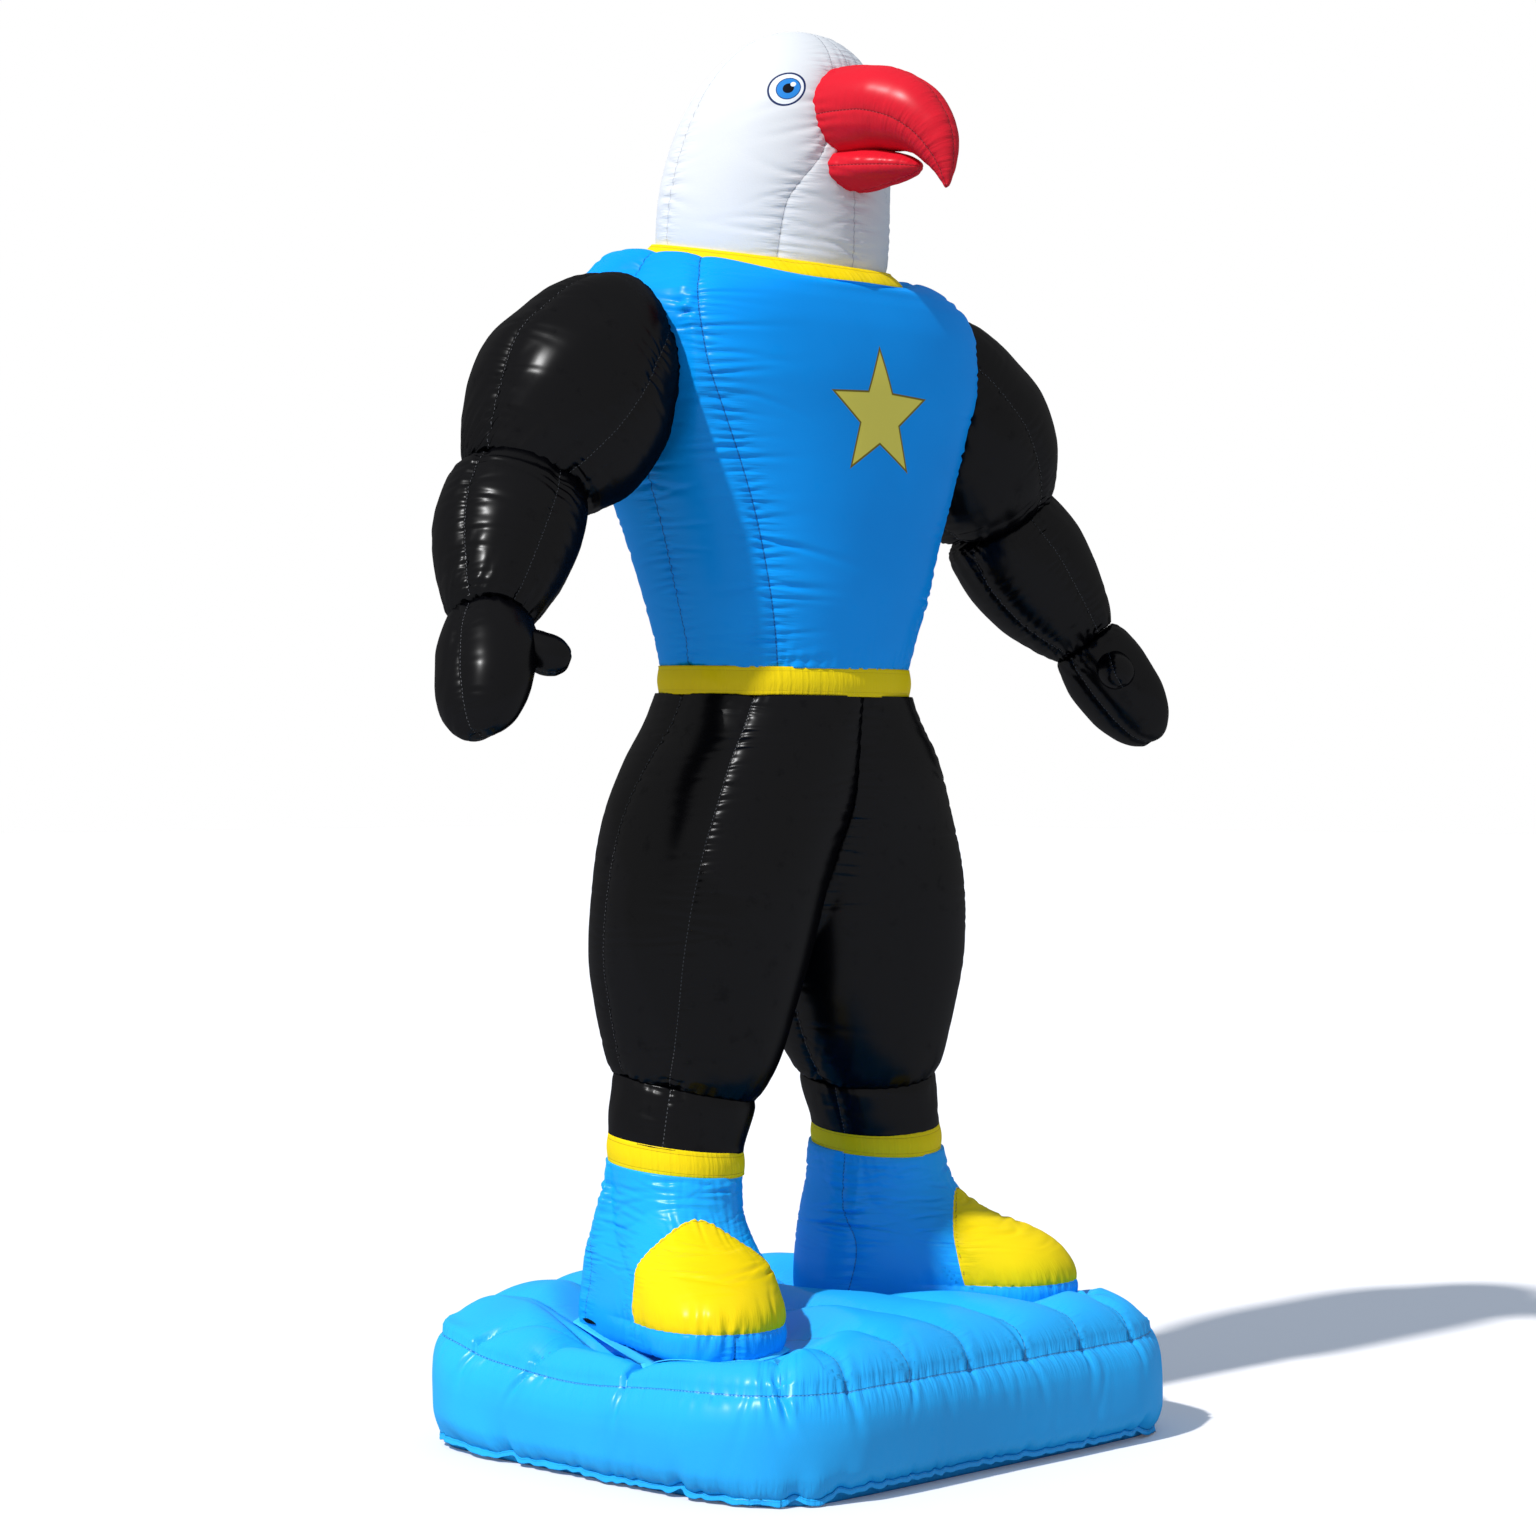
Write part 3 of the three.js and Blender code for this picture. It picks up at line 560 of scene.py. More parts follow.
# ------------------------------------------------------------------ materials
class Nodes:
    """Short words for building a node tree."""

    def __init__(self, tree):
        self.tree = tree

    def add(self, kind, inputs=None, **settings):
        node = self.tree.nodes.new(kind)
        for key, value in settings.items():
            setattr(node, key, value)
        for key, value in (inputs or {}).items():
            self.feed(node.inputs[key], value)
        return node

    def feed(self, socket, value):
        if isinstance(value, bpy.types.NodeSocket):
            self.tree.links.new(value, socket)
        else:
            socket.default_value = value

    def math(self, operation, *values):
        node = self.add("ShaderNodeMath", operation=operation)
        for socket, value in zip(node.inputs, values):
            self.feed(socket, value)
        return node.outputs[0]

    def times(self, one, other):
        return self.math("MULTIPLY", one, other)

    def plus(self, one, other):
        return self.math("ADD", one, other)

    def minus(self, one, other):
        return self.math("SUBTRACT", one, other)

    def span(self, value, low, high, start=0.0, end=1.0):
        """start below low, end above high, smooth between."""
        node = self.add("ShaderNodeMapRange", {0: value, 1: low, 2: high, 3: start, 4: end},
                        interpolation_type="SMOOTHSTEP")
        return node.outputs[0]

    def mix(self, share, one, other):
        node = self.add("ShaderNodeMix", data_type="RGBA")
        self.feed(node.inputs[0], share)
        self.feed(node.inputs[6], one)
        self.feed(node.inputs[7], other)
        return node.outputs[2]

    def group(self, tree, **inputs):
        node = self.add("ShaderNodeGroup", node_tree=tree)
        for key, value in inputs.items():
            self.feed(node.inputs[key.replace("_", " ")], value)
        return node.outputs


def node_group(name, inputs, outputs):
    tree = bpy.data.node_groups.new(name, "ShaderNodeTree")
    for label, value in inputs.items():
        socket = tree.interface.new_socket(label, in_out="INPUT", socket_type="NodeSocketFloat")
        socket.default_value = value
    for label in outputs:
        tree.interface.new_socket(label, in_out="OUTPUT", socket_type="NodeSocketFloat")
    words = Nodes(tree)
    start = words.add("NodeGroupInput")
    end = words.add("NodeGroupOutput")
    return words, start.outputs, end.inputs


def cloth_grain_group():
    """Fine pebbled grain of the coating, with a slight slackness between the pebbles."""
    words, given, out = node_group("Coated cloth grain", {"Pebble": 420.0, "Slack": 95.0}, ["Height"])
    place = words.add("ShaderNodeTexCoord").outputs["Object"]
    pebble = words.add("ShaderNodeTexVoronoi",
                       {"Vector": place, "Scale": given["Pebble"]}).outputs["Distance"]
    slack = words.add("ShaderNodeTexNoise", {"Vector": place, "Scale": given["Slack"], "Detail": 4.0,
                                             "Roughness": 0.6}).outputs["Fac"]
    fine = words.times(pebble, 0.35)
    words.feed(out["Height"], words.plus(fine, slack))
    return words.tree


def seam_line_group():
    """The sewn line, its stitch dashes, partly painted glints, and the small wrinkles that run across it.
    """
    words, given, out = node_group(
        "Sewn seam", {"Seam": 1.0, "Run": 0.0, "Half width": 0.0009, "Stitch": 0.0085},
        ["Line", "Thread and glint", "Wrinkle"])
    seam, run = given["Seam"], given["Run"]
    half = given["Half width"]
    words.feed(out["Line"], words.span(seam, half, words.times(half, 1.9), 1.0, 0.0))
    # Stitch dashes, coloured partly as thread and partly as painted glints.
    beat = words.math("FRACT", words.math("DIVIDE", run, given["Stitch"]))
    dash = words.times(words.span(beat, 0.12, 0.2), words.span(beat, 0.62, 0.7, 1.0, 0.0))
    thin = words.span(seam, words.times(half, 0.4), words.times(half, 1.1), 1.0, 0.0)
    words.feed(out["Thread and glint"], words.times(dash, thin))
    flow = words.add("ShaderNodeCombineXYZ", {0: words.times(run, 105.0),
                                              1: words.times(seam, 14.0), 2: 0.0}).outputs[0]
    fine = words.add("ShaderNodeTexNoise", {"Vector": flow, "Scale": 1.0, "Detail": 2.0}).outputs["Fac"]
    near = words.span(seam, 0.0, 0.075, 1.0, 0.0)
    words.feed(out["Wrinkle"], words.times(words.minus(fine, 0.5), near))
    return words.tree


def panel_shade_group():
    """Slow changes of shade over a panel, and faint scuffs."""
    words, given, out = node_group("Panel shade", {"Size": 2.2}, ["Shade", "Scuff"])
    place = words.add("ShaderNodeTexCoord").outputs["Object"]
    slow = words.add("ShaderNodeTexNoise",
                     {"Vector": place, "Scale": given["Size"], "Detail": 3.0}).outputs["Fac"]
    words.feed(out["Shade"], words.span(slow, 0.3, 0.7))
    fast = words.add("ShaderNodeTexNoise", {"Vector": place, "Scale": 26.0, "Detail": 6.0,
                                            "Roughness": 0.7}).outputs["Fac"]
    words.feed(out["Scuff"], words.span(fast, 0.56, 0.72))
    return words.tree


GRAIN = cloth_grain_group()
SEAM_LINE = seam_line_group()
PANEL_SHADE = panel_shade_group()
GRAIN_HEIGHT = 0.00030
SEAM_GROOVE = 0.0008
COAT_IOR = 2.4


def tinted(colour, factor):
    return (*[min(1.0, c * factor) for c in colour], 1.0)


def coated_cloth(name, colour, line, thread_and_glint, coat, gloss, wrinkle=0.0036, prints=None):
    """Coated cloth of one colour. line and thread are the colours of its seams and their stitches.

    coat and gloss are the weight and the roughness of its shiny coat, and wrinkle is the height of the
    small wrinkles by its seams. The stitch dashes, lighter than the cloth on most cloths, are partly
    painted glints.
    """
    material = bpy.data.materials.new(name)
    material.use_nodes = True
    words = Nodes(material.node_tree)
    shader = material.node_tree.nodes["Principled BSDF"]
    shade = words.group(PANEL_SHADE)
    base = words.mix(shade["Shade"], tinted(colour, 0.93), tinted(colour, 1.06))
    seam = words.add("ShaderNodeAttribute", attribute_name="seam").outputs["Fac"]
    run = words.add("ShaderNodeAttribute", attribute_name="run").outputs["Fac"]
    sewn = words.group(SEAM_LINE, Seam=seam, Run=run)
    if prints:
        base = prints(words, base)
    base = words.mix(words.times(sewn["Line"], 0.75), base, (*line, 1.0))
    # Stitch dashes: partly thread, partly painted glints along the seams.
    base = words.mix(words.times(sewn["Thread and glint"], 0.7), base, (*thread_and_glint, 1.0))
    words.feed(shader.inputs["Base Color"], base)
    rough = words.plus(0.45, words.times(shade["Shade"], 0.05))
    rough = words.plus(rough, words.times(shade["Scuff"], 0.05))
    words.feed(shader.inputs["Roughness"], rough)
    shader.inputs["Specular IOR Level"].default_value = 0.0
    scuffed = words.times(shade["Scuff"], coat * 0.25)
    words.feed(shader.inputs["Coat Weight"], words.minus(coat, scuffed))
    shader.inputs["Coat Roughness"].default_value = gloss
    shader.inputs["Coat IOR"].default_value = COAT_IOR
    height = words.times(words.group(GRAIN)["Height"], GRAIN_HEIGHT)
    live = words.add("ShaderNodeAttribute", attribute_name="live").outputs["Fac"]
    fine = words.times(words.times(sewn["Wrinkle"], live), wrinkle)
    height = words.plus(height, fine)
    height = words.minus(height, words.times(sewn["Line"], SEAM_GROOVE))
    bump = words.add("ShaderNodeBump", {"Height": height, "Distance": 1.0, "Strength": 1.0})
    words.feed(shader.inputs["Normal"], bump.outputs["Normal"])
    return material


def print_place(words):
    """Where a point lies on the print, from its middle."""
    place = words.add("ShaderNodeAttribute", attribute_name="print").outputs["Vector"]
    split = words.add("ShaderNodeSeparateXYZ", {0: place}).outputs
    return split[0], split[1]


def distance(words, x, y):
    squares = words.plus(words.times(x, x), words.times(y, y))
    return words.math("SQRT", squares)


PRINT_EDGE = 0.0006


def disc(words, x, y, at_x, at_y, radius):
    far = distance(words, words.minus(x, at_x), words.minus(y, at_y))
    return words.span(far, radius - PRINT_EDGE, radius + PRINT_EDGE, 1.0, 0.0)


# Radius, colour and place of each disc of an eye, from the back to the front.
EYE = (
    (0.0410, (0.010, 0.025, 0.10, 1), (0, 0)),
    (0.0365, (0.86, 0.88, 0.90, 1), (0, 0)),
    (0.0265, (0.01, 0.04, 0.16, 1), (-0.004, 0)),
    (0.0245, (0.03, 0.24, 0.66, 1), (-0.004, 0)),
    (0.0120, (0.004, 0.005, 0.01, 1), (-0.004, 0)),
    # The last disc is a painted glint.
    (0.0058, (0.9, 0.93, 0.96, 1), (-0.013, 0.010)),
)


def eye_print(words, base):
    """Plain round eyes: a dark rim, white, a blue iris, a black pupil and a painted glint."""
    x, y = print_place(words)
    for radius, colour, (dx, dy) in EYE:
        base = words.mix(disc(words, x, y, dx, dy, radius), base, colour)
    return base


# Heights of the middles of the prints, and the eyes' share of the way round the head.
EYE_Z, EYE_SHARE = 2.846, 0.128
STAR_Z = 2.165
STAR = dict(tip=0.155, notch=0.066, outline=0.0045, edge=0.0007)


def star_print(words, base):
    """A plain five-pointed star with a thin darker outline."""
    x, y = print_place(words)
    far = distance(words, x, y)
    point = 2 * math.pi / 5
    turn = words.plus(words.math("ARCTAN2", x, y), point / 2 + 2 * math.pi)
    fold = words.math("ABSOLUTE", words.minus(words.math("MODULO", turn, point), point / 2))
    px = words.times(far, words.math("COSINE", fold))
    py = words.times(far, words.math("SINE", fold))
    notch_x, notch_y = STAR["notch"] * math.cos(point / 2), STAR["notch"] * math.sin(point / 2)
    nx, ny = unit(np.array([notch_y, STAR["tip"] - notch_x]))
    off_tip = words.times(words.minus(px, STAR["tip"]), float(nx))
    edge = words.plus(off_tip, words.times(py, float(ny)))
    for inset, colour in ((0.0, (0.22, 0.16, 0.01, 1)), (-STAR["outline"], (0.94, 0.78, 0.120, 1))):
        inside = words.span(edge, inset - STAR["edge"], inset + STAR["edge"], 1.0, 0.0)
        base = words.mix(inside, base, colour)
    return base


# Each cloth: its colour, its seams' colour, their stitches' colour, the coat's weight and roughness.
# The stitches' colour, lighter than the cloth on most, is partly painted glints.
BASE_BLUE = coated_cloth("Base cloth", (0.020, 0.445, 0.970), (0.004, 0.12, 0.42), (0.16, 0.62, 0.95),
                         0.115, 0.31, wrinkle=0.0042)
STRIP_BLUE = coated_cloth("Seam strip", (0.060, 0.600, 0.980), (0.006, 0.16, 0.48), (0.50, 0.88, 0.98),
                          0.06, 0.28)
BOOT_BLUE = coated_cloth("Boot cloth", (0.012, 0.400, 0.970), (0.004, 0.10, 0.36), (0.10, 0.52, 0.95),
                         0.080, 0.29, wrinkle=0.0044)
BLUE = coated_cloth("Blue cloth", (0.003, 0.345, 0.970), (0.002, 0.05, 0.26), (0.04, 0.36, 0.85),
                    0.060, 0.30, prints=star_print)
YELLOW = coated_cloth("Yellow cloth", (0.990, 0.690, 0.006), (0.50, 0.28, 0.01), (0.98, 0.84, 0.25),
                      0.055, 0.30, wrinkle=0.0030)
BLACK = coated_cloth("Black cloth", (0.0010, 0.0010, 0.0016), (0.001, 0.001, 0.001), (0.13, 0.13, 0.14),
                     0.055, 0.26, wrinkle=0.0046)
WHITE = coated_cloth("White cloth", (0.75, 0.75, 0.75), (0.46, 0.46, 0.48), (0.70, 0.70, 0.70),
                     0.03, 0.36, prints=eye_print)
RED = coated_cloth("Red cloth", (0.680, 0.012, 0.026), (0.16, 0.004, 0.008), (0.75, 0.08, 0.10),
                   0.075, 0.31)


# ------------------------------------------------------------------ trunk, head and beak
ARM = {side: Tube.along(UPPER_ARM, mirror) for side, mirror in SIDES.items()}
TORSO_TUBE = Tube.stacked(TORSO)

def make_torso():
    """The trunk: seams down its front, sides and back, drawn in where the arms are sewn to it."""
    rng = np.random.default_rng(11)
    front_side = [(0, 0.128), (0.35, 0.145), (0.66, 0.166), (0.86, 0.176), (1, 0.205)]
    seams = [front_side, 0.25, [(a, 0.5 - b) for a, b in front_side], 0.5,
             [(a, 0.5 + b) for a, b in front_side], 0.75, [(a, 1 - b) for a, b in front_side]]
    cloth = Cloth(TORSO_TUBE.rings, seams, 0.0036, 0.0112)
    cloth.sew(rng, SEWN)
    cloth.gather(rng, PINCHED, 0.0, 0.6)
    cloth.gather(rng, EDGE, cloth.run[-1])
    # A short dart below the neck, in front.
    dart = bell(cloth.around, 0.006) * ease((cloth.along - cloth.run[-1] + 0.16) / 0.12)
    cloth.relief -= 0.006 * dart
    flat = cloth.points.reshape(-1, 3)
    for tube in ARM.values():
        cloth.draw_in(rng, *tube.beside(flat), tube.front.max() * 7, SHOULDER, 0.25)
    cloth.soften(rng, 0.42, 0.0022)
    cloth.calm(cloth.run[-1], 0.024, 0.0)
    # The shoulders swell a little below the neck, the front and back less so.
    crest = bell(cloth.along - cloth.run[-1] + 0.055, 0.035)
    side = np.sin(2 * np.pi * cloth.share) ** 2
    cloth.relief += crest * (0.022 * side**2 - 0.006 * (1 - side) ** 2)
    centre = np.interp(STAR_Z, cloth.points[:, 0, 2], cloth.run)
    cloth.marks["print"] = np.stack(
        [cloth.around, cloth.along - centre, np.zeros_like(cloth.along)], -1)
    cloth.marks["print"][np.abs(cloth.around) > 0.6] = NO_PRINT
    place_cloth("torso", cloth, BLUE)


def make_band(node, table, seed, mirror=1, seams=(0.25, 0.75), drawn_behind=0.0):
    """A flat yellow band between two chambers, with stitches along each edge.

    Its lower edge can be drawn in at the back.
    """
    rng = np.random.default_rng(seed)
    cloth = Cloth(Tube.stacked(table, mirror).rings, seams, 0.0045, 0.007)
    cloth.gather(rng, EDGE, 0.0, 0.45)
    cloth.gather(rng, EDGE, cloth.run[-1], 0.45)
    cloth.seam = np.abs(np.minimum(cloth.along, cloth.run[-1] - cloth.along) - 0.008)
    cloth.along_stitch = cloth.around
    cloth.soften(rng, 0.12, 0.0009)
    cloth.calm(0.0, 0.006, 0.0)
    cloth.calm(cloth.run[-1], 0.006, 0.0)
    behind = bell((cloth.share % 1) - 0.5, 0.09)
    cloth.relief -= drawn_behind * behind * bell(cloth.along, 0.010)
    place_cloth(node, cloth, YELLOW)


def make_head():
    """The head and neck, with a seam from the throat to each side of the crown."""
    rng = np.random.default_rng(23)
    side_front = [(0, 0.118), (0.18, 0.108), (0.36, 0.060), (0.5, 0.045), (1, 0.04)]
    seams = [0.0, side_front, 0.30, 0.5, 0.70, [(a, 1 - b) for a, b in side_front]]
    cloth = Cloth(Tube.stacked(HEAD).rings, seams, 0.0040, 0.0095)
    cloth.sew(rng, dict(SEWN, fold=0.0056, depth=0.006, spacing=0.016), lines=[0, 1, 5])
    cloth.sew(rng, QUIET, lines=[2, 3, 4])
    cloth.relief *= 0.25 + 0.75 * ease((2.93 - cloth.points[..., 2]) / 0.14)
    cloth.gather(rng, EDGE, 0.0)
    flat = cloth.points.reshape(-1, 3)
    for table in (BEAK_UPPER, BEAK_LOWER):
        style = dict(SHOULDER, depth=0.006, fold=0.003)
        cloth.draw_in(rng, *Tube.beak(table).beside(flat), 0.7, style, 0.12)
    cloth.soften(rng, 0.30, 0.0020)
    at = np.interp(EYE_Z, cloth.points[:, 0, 2], cloth.run)
    share = np.abs((cloth.share + 0.5) % 1 - 0.5)
    beside = (share - EYE_SHARE) * cloth.girth[:, None]
    cloth.marks["print"] = np.stack([beside, cloth.along - at, np.zeros_like(cloth.along)], -1)
    place_cloth("head", cloth, WHITE)


def make_beak():
    """The hooked upper beak and the short lower one."""
    for name, table, seed, seams in (("beak_upper", BEAK_UPPER, 31, (0.0, 0.27, 0.73)),
                                     ("beak_lower", BEAK_LOWER, 32, (0.25, 0.5, 0.75))):
        rng = np.random.default_rng(seed)
        cloth = Cloth(Tube.beak(table).rings, seams, 0.0042, 0.0052)
        cloth.sew(rng, dict(QUIET, fold=0.0024, spacing=0.024, reach=(0.012, 0.055)))
        cloth.gather(rng, dict(PINCHED, fold=0.0035), 0.06)
        cloth.soften(rng, 0.11, 0.0014)
        place_cloth(name, cloth, RED)


# ------------------------------------------------------------------ arms
def make_arm(side, mirror):
    """An arm of three chambers, pinched where they join, and a thumb."""
    seed = 40 if mirror > 0 else 60
    outer = 0.235 if mirror > 0 else 0.765
    for number, (name, table, seams) in enumerate((
            ("upper_arm", UPPER_ARM, (0.0, outer, 0.5, 1 - outer)),
            ("forearm", FOREARM, (0.03, outer, 0.5, 1 - outer)),
            ("hand", HAND, (outer, 1 - outer)))):
        rng = np.random.default_rng(seed + number)
        cloth = Cloth(Tube.along(table, mirror).rings, seams, 0.0040, 0.0088)
        style = dict(SEWN, fold=0.0052, reach=(0.015, 0.080))
        if name == "hand":
            style = dict(style, fold=0.0028, reach=(0.012, 0.05))
        cloth.sew(rng, style)
        if name != "upper_arm":
            cloth.gather(rng, PINCHED, 0.0)
        else:
            out = beside_torso(cloth.points)
            cloth.draw_in(rng, out, cloth.around, cloth.girth.max(), SHOULDER, 0.2)
        if name != "hand":
            cloth.gather(rng, PINCHED, cloth.run[-1])
        else:
            cloth.gather(rng, dict(PINCHED, spacing=0.045, fold=0.004), cloth.run[-1], side=1)
        cloth.soften(rng, 0.20, 0.0020)
        place_cloth(f"{name}_{side}", cloth, BLACK)
    rng = np.random.default_rng(seed + 9)
    cloth = Cloth(Tube.along(THUMB, mirror).rings, [0.25, 0.75], 0.0040, 0.0050)
    cloth.sew(rng, dict(QUIET, spacing=0.016, reach=(0.008, 0.02)))
    cloth.soften(rng, 0.07, 0.0010)
    place_cloth(f"thumb_{side}", cloth, BLACK)


def beside_torso(points):
    """How far points lie outside the torso, from its sections at their heights."""
    tube = TORSO_TUBE
    height = points[..., 2]
    order = np.argsort(tube.centre[:, 2])
    read = lambda column: np.interp(height, tube.centre[order, 2], column[order])
    x = np.abs(points[..., 0]) / read(tube.side[:, 0])
    y = np.abs(points[..., 1] - read(tube.centre[:, 1])) / read(-tube.front[:, 1])
    power = read(tube.power)
    scale = (x**power + y**power) ** (1 / power)
    away = np.hypot(points[..., 0], points[..., 1] - FIGURE_Y)
    out = away * (1 - 1 / np.maximum(scale, 1e-3))
    return np.where(height > 2.48, np.maximum(out, height - 2.48), out)


# ------------------------------------------------------------------ legs, ankles and boots
def make_leg(side, mirror):
    """A trouser leg. Above the fork it lies against the other one at the middle."""
    rng = np.random.default_rng(80 + mirror)
    seams = on_side(mirror, [(0, 0.160), (0.25, 0.150), (0.6, 0.142), (1, 0.1475)],
                    [(0, 0.29), (0.5, 0.293), (1, 0.261)], 0.5, [(0, 0.755), (0.3, 0.74), (1, 0.73)])
    cloth = Cloth(Tube.stacked(LEG, mirror).rings, seams, 0.0044, 0.0100)
    cloth.sew(rng, dict(SEWN, fold=0.0046))
    cloth.gather(rng, dict(PINCHED, reach=(0.014, 0.075)), 0.0, 0.55)
    cloth.gather(rng, dict(PINCHED, reach=(0.010, 0.060)), cloth.run[-1], 0.30)
    inner = np.maximum(mirror * cloth.points[..., 0], 0)
    hollow = seam_relief(rng, inner, cloth.along, cloth.run[-1], dict(SEWN, depth=0.010, width=0.016))
    height = cloth.points[..., 2]
    share = 0.35 + 0.65 * ease((1.42 - height) / 0.12)
    cloth.relief += np.where((height > 1.12) & (inner < 0.2), hollow, 0) * share
    cloth.soften(rng, 0.36, 0.0022)

    def clamp(points):
        moved = mirror * points[..., 0]
        held = mirror * cloth.points[..., 0]
        together = (1 - ease((held - 0.004) / 0.014)) * ease((height - 1.02) / 0.06)
        points[..., 0] = mirror * np.maximum(moved * (1 - together), 0.00002)
        return points

    place_cloth(f"leg_{side}", cloth, BLACK, clamp)


def make_ankle(side, mirror):
    rng = np.random.default_rng(90 + mirror)
    cloth = Cloth(Tube.stacked(ANKLE, mirror).rings, on_side(mirror, 0.156, 0.5, 0.79), 0.0045, 0.0075)
    cloth.sew(rng, QUIET)
    cloth.gather(rng, dict(PINCHED, fold=0.0030), cloth.run[-1])
    cloth.gather(rng, dict(PINCHED, fold=0.0008), 0.0)
    cloth.soften(rng, 0.10, 0.0016)
    cloth.calm(0.0, 0.014, 0.0)
    place_cloth(f"ankle_{side}", cloth, BLACK)


def boot_rings(mirror):
    """Sections of a boot, long in front and splayed outwards, as a maker of rings."""
    dense = refined(BOOT, [3, 4, 5])

    def rings(places, count):
        at = np.asarray(places) * (len(dense) - 1)
        z, heel, toe, half, outer, toe_half, heel_round, toe_round, tilt, lean = [
            np.interp(at, np.arange(len(dense)), column)[:, None] * MM for column in dense.T]
        turn = np.linspace(0, 2 * np.pi, count, endpoint=False)[None]
        c, s = np.cos(turn), np.sin(turn)
        u = np.where(c > 0, toe - toe_round * (1 - c), heel + heel_round * (1 + c))
        v = np.where(c > 0, toe_half, np.where(s > 0, outer, half)) * s
        x = BOOT_ANKLE + u * math.sin(SPLAY) + v * math.cos(SPLAY)
        y = FIGURE_Y - u * math.cos(SPLAY) + v * math.sin(SPLAY)
        rise = (tilt * (y - FIGURE_Y + 0.003) + lean * (x - 0.310)) / MM
        return np.stack([mirror * x, y, z + rise], -1)

    return rings


def boot_length(points, mirror):
    """How far ahead of the ankle points are, along the boot."""
    outward_part = (mirror * points[..., 0] - BOOT_ANKLE) * math.sin(SPLAY)
    return outward_part - (points[..., 1] - FIGURE_Y) * math.cos(SPLAY)


def make_boot(side, mirror):
    """A boot and its toe cap, which is cut out of the same cloth. Gives the boot's cloth back."""
    rng = np.random.default_rng(100 + mirror)
    seams = on_side(mirror, 0.0, [(0, 0.335), (1, 0.33)], 0.5, [(0, 0.66), (0.5, 0.69), (1, 0.71)])
    cloth = Cloth(boot_rings(mirror), seams, 0.0042, 0.0070)
    ahead = boot_length(cloth.points, mirror)
    z = cloth.points[..., 2]
    cap_edge = over_cloth(cloth.points, ahead - TOE_CAP_BEHIND + TOE_CAP_LEAN * (z - TOE_CAP_ABOVE))
    sole_edge = over_cloth(cloth.points, z - TOE_CAP_ABOVE)
    cloth.sew(rng, dict(QUIET, spacing=0.026), lines=[1, 2, 3])
    low = 1 - ease((z - TOE_CAP_ABOVE + 0.01) / 0.02)
    cloth.relief -= 0.008 * np.exp(-np.abs(cloth.around) / 0.007) * low
    cloth.stitch(np.abs(cloth.around) + 0.2 * (1 - low), cloth.along)
    across = cloth.around + rng.uniform(-1e-4, 1e-4)
    wrinkles = loose_folds(rng, across, cloth.along, 230, (0.025, 0.085), 0.0056, 0.09)
    off_cap = ease((np.abs(cap_edge) - 0.004) / 0.03)
    cloth.relief += wrinkles * ease((z - 0.35) / 0.09) * ease((0.600 - z) / 0.03) * off_cap
    cloth.gather(rng, dict(PINCHED, fold=0.003), cloth.run[-1])
    cloth.gather(rng, dict(PINCHED, fold=0.0035, reach=(0.012, 0.045)), 0.0)
    toe_puckers = seam_relief(rng, sole_edge, cloth.around, 1.2, TOE, centred=True)
    cloth.relief += toe_puckers * ease((ahead - TOE_CAP_BEHIND + 0.14) / 0.12)
    style = dict(EDGE, spacing=0.020, reach=(0.010, 0.055), fold=0.0036)
    edge = seam_relief(rng, cap_edge, cloth.around, 1.2, style, centred=True)
    cloth.relief += edge * ease((sole_edge + 0.02) / 0.03)
    cloth.soften(rng, 0.17, 0.0022)
    cloth.calm(cloth.run[-1], 0.012, 0.0)
    to_edge = np.minimum(cap_edge, sole_edge)
    outside = np.hypot(np.minimum(cap_edge, 0), np.minimum(sole_edge, 0))
    beside_cap = np.where(to_edge > 0, np.abs(to_edge - 0.006), outside + 0.003)
    by_sole = np.abs(sole_edge) < np.abs(cap_edge)
    cloth.live *= ease((np.abs(np.abs(sole_edge) - np.abs(cap_edge)) - 0.003) / 0.012)
    cloth.stitch(beside_cap, np.where(by_sole, cloth.around, cloth.along))
    mesh = cloth_mesh(f"boot_{side}_cloth", cloth)
    cap = split_toe_cap(mesh, mirror)
    place_piece(f"boot_{side}_cloth", mesh, BOOT_BLUE, [f"boot_{side}"])
    place_piece(f"toe_cap_{side}_cloth", cap, YELLOW, [f"toe_cap_{side}"])
    return cloth


def over_cloth(points, value):
    """Turns a value that passes through nought at an edge into a length over the cloth from that edge."""
    round_step = np.roll(points, -1, 1) - np.roll(points, 1, 1)
    round_change = np.roll(value, -1, 1) - np.roll(value, 1, 1)
    up_step, up_change = np.gradient(points, axis=0), np.gradient(value, axis=0)
    steep = np.hypot(round_change / np.linalg.norm(round_step, axis=2),
                     up_change / np.linalg.norm(up_step, axis=2))
    return value / np.clip(steep, 0.25, 1.5)


